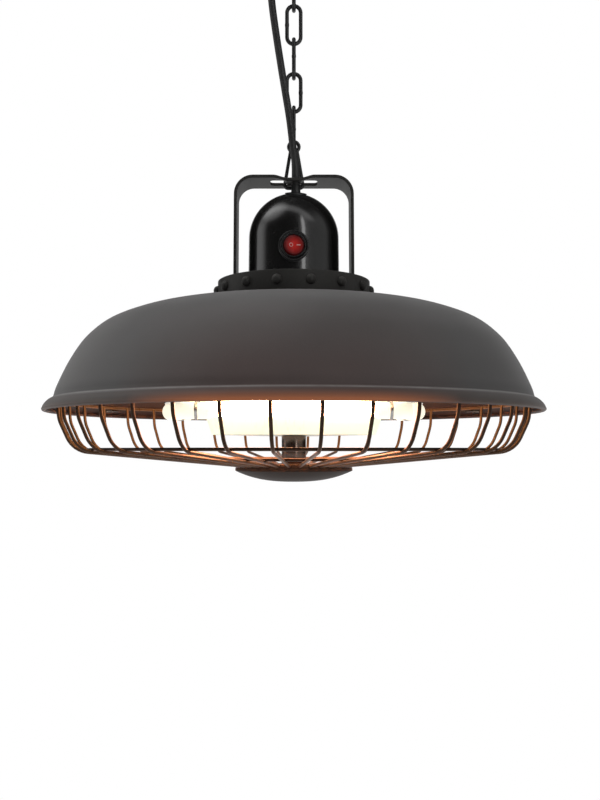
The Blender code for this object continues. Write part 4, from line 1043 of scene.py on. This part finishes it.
slot_size = (slot_end - saddle_half, slot_width, 4 * strap_t + 2 * saddle_dip)
slot_place = (saddle_half + slot_end) / 2
strap_slots = [
    slab(slot_size, (side * slot_place, 0, bar_low), slot_corner, 6, upright_only=True) for side in (-1, 1)
]
strap = combined(
    ribbon("strap_bracket_bent", strap_path, strap_ring, dip_at),
    "DIFFERENCE",
    *strap_slots,
    rod(cord_hole_r, bar_low - 2 * saddle_dip, bar_top + cut_overrun, 40, cord_x, cord_y),
    *holes(foot_low, foot_top, "bolts"),
)
fit(strap, "heater", "bracket_black", "strap_bracket", smooth=30)


def screw_shape(name, place, seat, head_r, head_h, shank_r, end):
    """A round-headed screw with a crossed recess."""
    top = seat + head_h
    profile = [(0, top), *domed(head_r, seat + 0.35 * head_h, top, 8), (head_r, seat), (shank_r, seat)]
    profile += [(shank_r, end + shank_r * 0.4), (shank_r * 0.6, end), (0, end)]
    screw = moved(spun(name, profile, "zinc_steel", 32), at(place))
    long, narrow, deep = head_r * 1.15, head_r * 0.26, head_h * 0.84
    blades = [slab((x, y, deep), (place, 0, top), 0) for x, y in ((long, narrow), (narrow, long))]
    return combined(screw, "DIFFERENCE", *blades)


bolt = screw_shape(
    "bracket_bolts", bolt_place, foot_top + touch_gap, bolt_head_r, bolt_head_h, bolt_r,
    shade_under - touch_gap - nut_h - bolt_end,
)
bolts = set_out(bolt, "zinc_steel", 2, math.pi)
fit(bolts, "heater", "zinc_steel", "bracket_bolt_left", "bracket_bolt_right")

# ---- mounting plate and collar
mount_rim_z = mount_low + mount_rim
mount_profile = section(
    [
        (mount_r, mount_rim_z), (mount_r, mount_low), (rod_hole, mount_low), (rod_hole, mount_top),
        (mount_r - mount_wall, mount_top), (mount_r - mount_wall, mount_rim_z),
    ],
    [0.0006, 0.0015, 0.0003, 0.0003, 0.0012, 0.0006],
)
mount = spun("mounting_plate_pressed", mount_profile, "plate_grey", 128)
mount = combined(mount, "DIFFERENCE", *holes(mount_low, mount_top, "bolts", "screws", "harness"))
fit(mount, "heater", "plate_grey", "mounting_plate")

collar_top, collar_inner = collar_low + collar_h, collar_r - collar_wall
band_profile = section(
    [(collar_r, collar_top), (collar_r, collar_low), (collar_inner, collar_low), (collar_inner, collar_top)],
    0.0005,
)
band = spun("collar_strip", band_profile, "bracket_black", 180)
rivet_profile = [(0, rivet_h), *domed(rivet_r, 0.0003, rivet_h, 7), (rivet_r, -rivet_sink), (0, -rivet_sink)]
rivet = moved(
    spun("collar_rivet", rivet_profile, "bracket_black", 24),
    Matrix.Rotation(quarter_turn, 4, "Y"),
    at(collar_r, 0, collar_low + rivet_level),
)
rivet_turn = math.tau / rivet_count
rivets = set_out(rivet, "bracket_black", rivet_count, rivet_turn, rivet_turn / 2 - quarter_turn)
fit(joined("collar_band_riveted", band, rivets), "heater", "bracket_black", "collar_band", smooth=40)


# ---- domed housing
def dome_form(outset):
    """The outside of the housing as a closed solid, for fitting other pieces to it."""
    profile = arc((0, dome_centre), dome_r + outset, quarter_turn, 0, 40)
    return spun("form", profile + [(dome_r + outset, dome_low), (0, dome_low)], "dome_gloss", 128)


side_steps = 24
fillet_z = flange_top + dome_fillet
dome_profile = arc((0, dome_centre), dome_r, quarter_turn, 0, 36)
dome_profile += [
    (dome_r + dome_draft * i / side_steps, dome_centre + (fillet_z - dome_centre) * i / side_steps)
    for i in range(1, side_steps + 1)
]
fillet_middle = (dome_r + dome_draft + dome_fillet, fillet_z)
dome_profile += arc(fillet_middle, dome_fillet, math.pi, 1.5 * math.pi, 6)[1:]
dome_profile += [(dome_flange, flange_top)]
face_front = Matrix.Rotation(quarter_turn, 4, "X")


def on_front(thing, out=0.0):
    """A shape turned to face the front, on the switch's middle line and this far out of the housing."""
    return moved(thing, face_front, at(0, -dome_r - out, switch_z))


dome = combined(
    spun("dome_shell", dome_profile, "dome_gloss", 144, dome_wall, up_at_top=True),
    "DIFFERENCE",
    on_front(rod(barrel_r + touch_gap, -barrel_r, barrel_r, 72)),
    rod(gland_stem_r + touch_gap, dome_centre, dome_top + cut_overrun, 40, cord_x, cord_y),
    *holes(dome_low, flange_top, "screws"),
)
fit(dome, "heater", "dome_gloss", "dome_housing", smooth=30)

housing_screw = screw_shape(
    "housing_screws", dome_screw_place, flange_top + touch_gap, dome_screw_head_r, dome_screw_head_h,
    dome_screw_r, mount_low + touch_gap,
)
housing_screws = set_out(housing_screw, "zinc_steel", 3, third_turn, quarter_turn)
fit(housing_screws, "heater", "zinc_steel", *numbered("housing_screw", 1, 3))

gland_low = dome_centre + math.sqrt(dome_r**2 - (math.hypot(cord_x, cord_y) + gland_flange_r) ** 2)
gland_bore, bore_end = cord_r + 0.0001, gland_mouth - 0.003
gland_flange = combined(
    rod(gland_flange_r, gland_low - cut_overrun, gland_mouth, 96, cord_x, cord_y),
    "INTERSECT",
    dome_form(touch_gap + gland_skin),
)
gland_profile = rounded(
    [
        (0, bore_end), (gland_bore, bore_end), (gland_bore, gland_mouth), (sleeve_foot, gland_mouth),
        (gland_neck_r, gland_low), (0, gland_low),
    ],
    [0, 0, 0.0002, 0.0003, 0, 0],
)
gland_neck = moved(spun("gland_neck", gland_profile, "gland_black", 64), at(cord_x, cord_y))
gland = combined(gland_flange, "UNION", gland_neck)
gland = combined(gland, "DIFFERENCE", dome_form(touch_gap))
stem_low, stem_high = gland_seat - gland_stem_l, dome_centre + dome_r * 0.955
stem = rod(gland_stem_r - 0.0002, stem_low, stem_high, 48, cord_x, cord_y)
fit(joined("cable_gland_moulded", gland, stem), "heater", "gland_black", "cable_gland", smooth=30)

# ---- switch
ring_bore = barrel_r + touch_gap
ring_profile = [(ring_r, 0), (ring_r, -2 * ring_front), (ring_bore, -2 * ring_front), (ring_bore, 0)]
ring_profile = section(ring_profile, [0.0011, 0, 0, 0.0006])
ring = on_front(spun("switch_bezel_outer", ring_profile, "switch_black", 96), ring_front)
ring = combined(ring, "DIFFERENCE", dome_form(touch_gap))
fit(ring, "heater", "switch_black", "switch_ring", smooth=40)
barrel_profile = rounded(
    [(0, -cup_depth), (cup_r, -cup_depth), (cup_r, 0), (barrel_r, 0), (barrel_r, -barrel_l), (0, -barrel_l)],
    [0, 0.0005, 0.0004, 0.0006, 0.0006, 0],
)
barrel = on_front(spun("switch_bezel_inner", barrel_profile, "switch_black", 96), barrel_front)
fit(barrel, "heater", "switch_black", "switch_barrel", smooth=40)


def face_depth(x):
    """How far the rocker's face is let in at a distance from its middle line."""
    return rocker_hollow * (1 - min(1, abs(x) / rocker_r)) ** 1.15


corner_middle = (rocker_r - rocker_corner, rocker_t / 2 - rocker_corner)
rocker_profile = [(rocker_r * 0.11 * i, rocker_t / 2) for i in range(8)]
rocker_profile += arc(corner_middle, rocker_corner, quarter_turn, 0, 5)
rocker_profile += [(rocker_r, -rocker_t / 2), (0, -rocker_t / 2)]
cap = spun("rocker_face", rocker_profile, "rocker_red", 72)
for spot in cap.data.vertices:
    if spot.co.z > 0:
        spot.co.z -= face_depth(spot.co.x)
run_map(cap, lambda co: (co.xy.length / rocker_r, 0.5 + 0.5 * co.x / rocker_r))
pin_half = barrel_r - 0.0007
pin = run_map(moved(rod(pin_r, -pin_half, pin_half, 20), face_front), lambda co: (1.0, 0.5))
rocker_place = at(0, -dome_r - barrel_front + rocker_depth, switch_z)
rocker_place = rocker_place @ Matrix.Rotation(rocker_tilt, 4, "Z") @ face_front
rocker = moved(joined("rocker_cap", cap, pin), rocker_place)
fit(rocker, "rocker", "rocker_red", "switch_rocker", smooth=45)

off_x, off_r, off_stroke = -0.0031, 0.00165, 0.00028
on_x, on_size, on_edge = 0.0043, (0.0040, 0.0008, 0.0004), 0.00012
print_flatness, print_lift = 0.6, 0.00002
off_line = [(x, y, 0) for x, y in arc((off_x, 0), off_r, 0, math.tau, 32)[:-1]]
off_ring = drawn("mark", off_line, off_stroke, "mark_print", 8, closed=True)
marks = faced(joined("rocker_marks", off_ring, slab(on_size, (on_x, 0, 0), on_edge, 2)))
for spot in marks.data.vertices:
    spot.co.z = spot.co.z * print_flatness + rocker_t / 2 - face_depth(spot.co.x) + print_lift
fit(moved(marks, rocker_place), "rocker", None, own_finish="mark_print")

# ---- shade
shade_run = shade_r - collar_r
shade_outline = [(collar_r, shade_top)] + [
    (collar_r + shade_run * across, shade_top - shade_h * down) for across, down in shade_shares
]
body_line = through([(collar_r - 0.012, shade_top)] + shade_outline[: step_row + 2], 8)[8:]
lip_line = through(shade_outline[step_row + 1 :], 5)
shade_profile = [(rod_hole, shade_top), (0.030, shade_top), (0.055, shade_top)]
shade_profile += [tuple(point) for point in [*body_line[:-1], Vector(shade_outline[step_row + 1])]]
shade_profile += [tuple(point) for point in lip_line[1:]]
shade_profile += arc((shade_r - shade_curl, rim_z), shade_curl, 0, math.radians(-215), 16)[1:]
shade = spun("spun_shade", shade_profile, "shade_graphite", 200, shade_wall, up_at_top=True)
shade = combined(shade, "DIFFERENCE", *holes(shade_under, shade_top, "bolts", "harness"))
fit(shade, "heater", "shade_graphite", "shade", smooth=25)


# ---- reflector pan and core
def dented(point):
    """How high a hammered sheet stands at a point."""
    near = noise.voronoi(Vector(point) / dent_size)[0][0]
    return dent_depth * (min(1.0, near) - 0.5)


pan_middle, pan_steps, dent_start = 0.012, 44, 0.016
pan_profile = [(rod_hole, pan_top), (pan_middle, pan_top)]
pan_profile += [
    (pan_middle + (pan_flat - pan_middle) * i / pan_steps, pan_top) for i in range(1, pan_steps)
]
pan_profile += rounded(
    [
        (pan_flat - 0.002, pan_top), (pan_flat, pan_top), (pan_r - 0.0008, pan_top - pan_drop + 0.0006),
        (pan_r, pan_top - pan_drop),
    ],
    [0, 0.004, 0.0012, 0],
    5,
)
pan = spun("reflector_pan_hammered", pan_profile, "reflector_aluminium", 240, up_at_top=True)
for spot in pan.data.vertices:
    if dent_start < spot.co.xy.length < pan_flat - 0.001:
        spot.co.z += min(0.0, dented(spot.co)) - 0.00002
fit(walled(pan, pan_wall * 0.8), "heater", "reflector_aluminium", "reflector_pan", smooth=50)


def core_outline(share):
    """A triangle with its points cut off, at a share of the box's height, as pairs of ends of its runs."""
    apothem, half = [low + (top - low) * share for low, top in zip(core_low, core_top)]
    corners = [
        tuple(Matrix.Rotation(third_turn * number, 2) @ Vector((side * half, -apothem)))
        for number in range(lamp_count)
        for side in (-1, 1)
    ]
    outline = [Vector(spot) for spot in rounded(corners, [core_corner] * 6, 4, closed=True)]
    return list(zip(outline, outline[1:] + outline[:1]))


def core_shape():
    """An open box with rounded corners, its sides rolled with fine upright ribs."""
    rows = 12
    outlines = [core_outline(row / rows) for row in range(rows + 1)]
    counts = [
        max(max(1, round((ahead - here).length / rib_width)) for here, ahead in runs)
        for runs in zip(*outlines)
    ]
    shape = bmesh.new()
    rings = []
    for row, outline in enumerate(outlines):
        rings.append([])
        for (here, ahead), parts in zip(outline, counts):
            out = Vector((ahead.y - here.y, here.x - ahead.x)).normalized()
            for i in range(parts):
                rib = rib_depth * (1 if i % 2 else -1) if parts > 8 and 0 < row < rows else 0
                spot = here.lerp(ahead, i / parts) + out * rib
                rings[-1].append(shape.verts.new((*spot, core_low_z + core_depth * row / rows)))
    for near, far in zip(rings, rings[1:]):
        bridged(shape, near, far)
    inner = rings[0]
    for size in (0.965, 0.8, 0.55, 0.3, 0.15):
        ring = []
        for flat in [vertex.co.xy for vertex in rings[0]]:
            spot = (flat * size).lerp(flat.normalized() * post_r, (1 - size) ** 3)
            ring.append(shape.verts.new((*spot, core_low_z)))
        bridged(shape, ring, inner)
        inner = ring
    hole = []
    for flat in [vertex.co.xy for vertex in inner]:
        spot = [part * rod_hole / flat.length for part in flat]
        hole.append(shape.verts.new((*spot, core_low_z)))
    bridged(shape, hole, inner)
    core = faced(finished("reflector_core_folded", shape))
    top = max(core.data.polygons, key=lambda face: face.center.z)
    if top.normal.xy.dot(top.center.xy) < 0:
        core.data.flip_normals()
    return walled(core, core_wall)


fit(core_shape(), "heater", "reflector_aluminium", "reflector_core", smooth=40, own_finish="core_bright")

# ---- lamps and their holders
tube_half = holder_inner + holder_bore - touch_gap
glass_end = tube_half - 0.0006
lie_along = Matrix.Rotation(quarter_turn, 4, "Y")
lamp_spot = at(0, -lamp_place, lamp_z)


def along_lamp(co):
    return (math.atan2(co.y, co.x) / math.tau + 0.5, 0.5 + co.z / (2 * tube_half))


glass_profile = [(0, -tube_half), (lamp_r, -glass_end), (lamp_r, glass_end), (0, tube_half)]
glass = spun("quartz_tubes", rounded(glass_profile, [0, 0.002, 0.002, 0], 5), "lamp_glass", 32)
glass = moved(run_map(glass, along_lamp), lie_along, lamp_spot)
glass = set_out(glass, "lamp_glass", lamp_count, third_turn)
fit(glass, "heater", "lamp_glass", *numbered("lamp_tube", 1, lamp_count))

holder_end, bore_end = holder_inner + holder_l, holder_inner + holder_bore
groove_r = holder_r - 0.0008
groove_start, groove_near, groove_far, groove_end = [
    holder_inner + run for run in (0.0105, 0.0115, 0.0145, 0.0155)
]
holder_profile = rounded(
    [
        (0, bore_end), (lamp_r + touch_gap, bore_end), (lamp_r + touch_gap, holder_inner),
        (holder_r, holder_inner), (holder_r, groove_start), (groove_r, groove_near),
        (groove_r, groove_far), (holder_r, groove_end), (holder_r, holder_end), (0, holder_end),
    ],
    [0, 0, 0.0004, 0.0009, 0.0003, 0.0003, 0.0003, 0.0003, 0.0028, 0],
    5,
)
foot_bottom, foot_head = lamp_z + holder_r / 2, pan_under - touch_gap
foot_size = (foot_l, foot_w, foot_head - foot_bottom)
foot_y = -lamp_place + holder_r - foot_w / 2


def holder_pair(profile, slot, name, with_foot):
    """A pair of turned shapes at the two ends of each lamp."""
    halves = []
    for side in (1, -1):
        body = moved(spun("holder", profile, slot, 40), lie_along)
        if side < 0:
            moved(body, Matrix.Rotation(math.pi, 4, "Z"))
        halves.append(moved(body, lamp_spot))
        if with_foot:
            middle = (side * (holder_inner + foot_l / 2), foot_y, (foot_head + foot_bottom) / 2)
            halves.append(slab(foot_size, middle, 0.0008))
    return set_out(joined(name, *halves), slot, lamp_count, third_turn)


holder_names = [f"lamp_holder_{number + 1}{end}" for number in range(lamp_count) for end in "ab"]
holders = holder_pair(holder_profile, "holder_ceramic", "ceramic_holders", True)
fit(holders, "heater", "holder_ceramic", *holder_names, smooth=40)
band_out, band_in = holder_r + 0.0006, holder_r - 0.0007
band_profile = section(
    [(band_out, groove_near), (band_out, groove_far), (band_in, groove_far), (band_in, groove_near)], 0.0002
)
bands = holder_pair(band_profile, "post_steel", "holder_bands", False)
fit(bands, "heater", "post_steel", smooth=40, own_finish="zinc_steel")

# ---- post
post_profile = [(post_r, post_top), (post_r, post_low), (post_bore, post_low), (post_bore, post_top)]
post = spun("centre_post_turned", section(post_profile, 0.0004), "post_steel", 72)
fit(post, "heater", "post_steel", "centre_post")

# ---- wire guard
outline = [Vector(point) for point in shade_outline]
step_a, step_b = outline[step_row + 1], outline[step_row + 2]
step_along = (step_b - step_a).normalized()
top_hoop = step_a - Vector((-step_along.y, step_along.x)) * (shade_wall + guard_wire + touch_gap)
top_hoop.x -= shade_r * (1 - math.cos(math.pi / shade_facets))
weld_offset = 2 * guard_wire - guard_weld
hub_z = (hub_top + hub_low) / 2
wire_path = rounded(
    [
        (top_hoop.x - weld_offset, top_hoop.y), (guard_side, hub_z + guard_side_level),
        (guard_floor, hub_z + guard_floor_level), (hub_r - guard_sink, hub_z),
    ],
    [0, 0.03, guard_bend, 0],
    8,
)


def hoop_on_wires(radius):
    """Where a hoop of this radius lies on the inner side of the wires, and the wire's place there."""
    for first, second in zip(wire_path, wire_path[1:]):
        first, second = Vector(first), Vector(second)
        along = (second - first).normalized()
        inward = Vector((along.y, -along.x)) * weld_offset
        near, far = first + inward, second + inward
        if min(near.x, far.x) <= radius <= max(near.x, far.x):
            spot = near.lerp(far, (radius - near.x) / (far.x - near.x))
            return spot, spot - inward
    return Vector((radius, hub_z + weld_offset)), Vector((radius, hub_z))


def bead(spot, across, up):
    """A small weld bead, this far across and up from its middle."""
    turns = [math.pi * i / 6 for i in range(7)]
    profile = [(across * math.sin(turn), up * math.cos(turn)) for turn in turns]
    profile[0], profile[-1] = (0, up), (0, -up)
    return moved(spun("bead", profile, "guard_bronze", 8), at(spot.x, 0, spot.y))


top_bead_r, bead_across, bead_up = 0.0013, 0.0017, 0.0010
hoop_places, hoops = [top_hoop], []
beads = [bead(top_hoop - Vector((weld_offset / 2, 0)), top_bead_r, top_bead_r)]
for radius in (large_hoop, small_hoop):
    on_hoop, on_wire = hoop_on_wires(radius)
    hoop_places.append(on_hoop)
    beads.append(bead((on_hoop + on_wire) / 2, bead_across, bead_up))
for spot in hoop_places:
    hoop_line = [(x, y, spot.y) for x, y in arc((0, 0), spot.x, 0, math.tau, 180)[:-1]]
    hoops.append(drawn("hoop", hoop_line, guard_wire, "guard_bronze", 12, closed=True))
wire = joined("guard_wire", drawn("wire", upright(wire_path), seen_wire, "guard_bronze", 12), *beads)
wires = set_out(wire, "guard_bronze", guard_count, math.tau / guard_count, guard_phase)
hub_profile = [(hub_r, hub_top), (hub_r, hub_low), (rod_hole, hub_low), (rod_hole, hub_top)]
hub = spun("hub", section(hub_profile, 0.0008), "guard_bronze", 128)
fit(faced(joined("guard_cage", wires, *hoops, hub)), "heater", "guard_bronze", "wire_guard", smooth=45)


def lip_radius_at(height):
    """The inner radius of the lip at a height."""
    inner = []
    for before, here, after in zip(outline, outline[1:], outline[2:]):
        along = (after - before).normalized()
        inner.append(here + Vector((along.y, -along.x)) * shade_wall)
    for first, second in zip(inner, inner[1:]):
        if second.y <= height <= first.y:
            return first.x + (second.x - first.x) * (first.y - height) / (first.y - second.y)
    return shade_r - shade_wall


clip_top = top_hoop.y - guard_wire - touch_gap
clip_middle = clip_top - clip_t / 2
clip_outer = lip_radius_at(clip_top) - 2 * touch_gap - 0.0006
clip_inner = top_hoop.x - clip_inward
clip_path = rounded(
    [
        (clip_inner - 0.0006, clip_middle - 0.0016), (clip_inner + 0.0008, clip_middle),
        (clip_outer, clip_middle), (clip_outer + 0.0008, clip_middle - 0.0024),
    ],
    [0, 0.001, 0.001, 0],
    4,
)
half_t, half_w = clip_t * 0.36, clip_width / 2
clip_ring = section([(half_w, half_t), (half_w, -half_t), (-half_w, -half_t), (-half_w, half_t)], 0.0002, 2)
clip = ribbon("guard_clips", clip_path, clip_ring[:-1])
clips = set_out(clip, "post_steel", 3, third_turn, clip_angle)
fit(clips, "heater", "post_steel", *numbered("guard_clip", 1, 3))

# ---- bottom dish
dish_edge = dish_top - dish_lip
sag = dish_edge - dish_low


def bowed(radius, depth, steps):
    """A dish's profile from its middle outwards, fuller near its edge than a part of a ball."""
    shares = [math.sin(quarter_turn * i / steps) for i in range(steps + 1)]
    return [(radius * share, dish_edge - depth * (1 - share**dish_fullness)) for share in shares]


outer_bow = bowed(hub_r, sag, 30)[::-1]
inner_bow = [spot for spot in bowed(hub_r - dish_wall, sag - dish_wall, 24) if spot[0] > dish_boss]
dish_profile = [
    (0, dish_top - dish_bore), (rod_hole, dish_top - dish_bore), (rod_hole, dish_top), (dish_boss, dish_top),
    (dish_boss, inner_bow[0][1]), *inner_bow, (hub_r - dish_wall, dish_top), (hub_r - 0.0003, dish_top),
    (hub_r, dish_top - 0.0003), *outer_bow[:-1], (0, dish_low),
]
dish = spun("bottom_dish_spun", dish_profile, "dish_anthracite", 128)
fit(dish, "heater", "dish_anthracite", "bottom_dish", smooth=38)

# ---- solids that stay, with their own finish
for part in frame["record"]["subparts"]:
    node = frame["nodes"][part["node"]]
    node.data.materials.clear()
    node.data.materials.append(finishes[part["material_slot"]])

# ---- studio
white = (1, 1, 1)
# The way to the middle of a soft bright spot, and the axis that a bow of light overhead goes round
crown_light, bow_axis = (-0.557, -0.095, 0.823), (0.434, 0.814, 0.387)
# Middle, half width and soft edge in degrees, strength, then the low and the high end, each with its edge
mirror_panels = (
    (-95, 8, 14, 1.0, -0.5, 0.3, 0.35, 0.45),
    (24.5, 3.2, 2.0, 4.2, -0.2, 0.2, 0.62, 0.18),
    (62, 26, 14, 0.34, -0.3, 0.3, 0.6, 0.3),
)
floor_z, floor_r, fade_start, fade_end = -2.4, 30, 1.2, 3.2
heater_middle = Vector((0, 0, -0.38))


def studio_net(thing):
    """An empty tree for a world or a material, the rays of mirrors, and those of camera and clear glass."""
    thing.use_nodes = True
    net = Net(thing.node_tree)
    net.tree.nodes.clear()
    path = net.add("ShaderNodeLightPath").outputs
    seen = net.maths("MAXIMUM", path["Is Camera Ray"], path["Is Transmission Ray"])
    return net, path["Is Glossy Ray"], seen


def build_world():
    """White where it is seen, soft light from above for matt paint, and soft panels for gloss to mirror."""
    world = bpy.data.worlds.new("studio")
    scene.world = world
    net, glossy, seen = studio_net(world)
    way = net.coords("Generated")
    side, depth, up = net.parts(way)
    seen = net.maths("MAXIMUM", seen, net.times(glossy, net.spread(depth, 0.86, 0.93)))
    upper = net.maths("POWER", net.spread(up, -0.05, 1.0), 2.2)
    soft_light = net.mixed(upper, (0.16, 0.16, 0.16), (1.5, 1.5, 1.5))
    turn = net.maths("ARCTAN2", side, net.times(depth, -1.0))
    level = net.spread(net.vector("DOT_PRODUCT", way, crown_light)["Value"], 0.90, 0.985, 0.03, 1.3)
    bow = net.off(net.vector("DOT_PRODUCT", way, bow_axis)["Value"], 0.08)
    bow = net.times(net.spread(bow, 0.20, 0.05, 0.0, 0.95), net.spread(up, 0.52, 0.70))
    level = net.maths("ADD", level, bow)
    for middle, half, edge, strength, low, low_edge, high, high_edge in mirror_panels:
        away = net.off(turn, math.radians(middle))
        across = net.spread(away, math.radians(half + edge), math.radians(half), 0.0, strength)
        rise, fall = net.spread(up, low - low_edge, low), net.spread(up, high + high_edge, high)
        level = net.maths("ADD", level, net.times(across, rise, fall))
    mirror = net.out("ShaderNodeCombineXYZ", {0: level, 1: level, 2: level})
    colour = net.mixed(seen, net.mixed(glossy, soft_light, mirror), white)
    light = net.out("ShaderNodeBackground", {"Color": colour, "Strength": 1.0})
    net.add("ShaderNodeOutputWorld", {"Surface": light})


def build_floor():
    """A pale floor well below the heater that keeps its shadow and fades into the white backdrop."""
    shape = bmesh.new()
    bmesh.ops.create_circle(shape, cap_ends=True, segments=96, radius=floor_r)
    floor = moved(finished("studio_floor", shape), at(0, 0, floor_z))
    material = bpy.data.materials.new("studio_floor_finish")
    net, glossy, seen = studio_net(material)
    x, y, _ = net.parts(net.point())
    away = net.maths("SQRT", net.maths("ADD", net.times(x, x), net.times(y, y)))
    fade = net.times(net.maths("MAXIMUM", seen, glossy), net.spread(away, fade_start, fade_end))
    pale = net.mixed(net.noisy(net.point(), 6), (0.70, 0.70, 0.70), (0.74, 0.74, 0.74))
    matt = net.out("ShaderNodeBsdfDiffuse", {"Color": pale})
    bright = net.out("ShaderNodeEmission", {"Color": white, "Strength": 1.0})
    surface = net.out("ShaderNodeMixShader", {0: fade, 1: matt, 2: bright})
    net.add("ShaderNodeOutputMaterial", {"Surface": surface})
    floor.data.materials.append(material)


def softbox(name, direction, distance, width, height, radiance, colour=white):
    """A soft panel light that faces the heater and gives a plain radiance."""
    data = bpy.data.lights.new(name, "AREA")
    data.shape = "RECTANGLE"
    data.size = width
    data.size_y = height
    data.energy = radiance * math.pi * width * height
    data.color = colour
    light = bpy.data.objects.new(name, data)
    scene.collection.objects.link(light)
    light.location = heater_middle + Vector(direction).normalized() * distance
    light.rotation_euler = (heater_middle - light.location).to_track_quat("-Z", "Y").to_euler()
    light.visible_camera = False
    light.visible_glossy = False


build_world()
build_floor()
softbox("left_softbox", (-1, 0.50, 0.22), 1.6, 1.15, 1.2, 1.8)
softbox("right_softbox", (1, 0.55, 0.18), 1.6, 1.15, 1.2, 1.8)
softbox("top_softbox", (-0.20, 0.22, 0.95), 1.7, 1.1, 1.1, 6.2)
softbox("warm_bounce", (0, -0.55, -0.83), 1.5, 1.2, 0.5, 0.9, (1.0, 0.34, 0.15))

scene.view_settings.view_transform = "Standard"
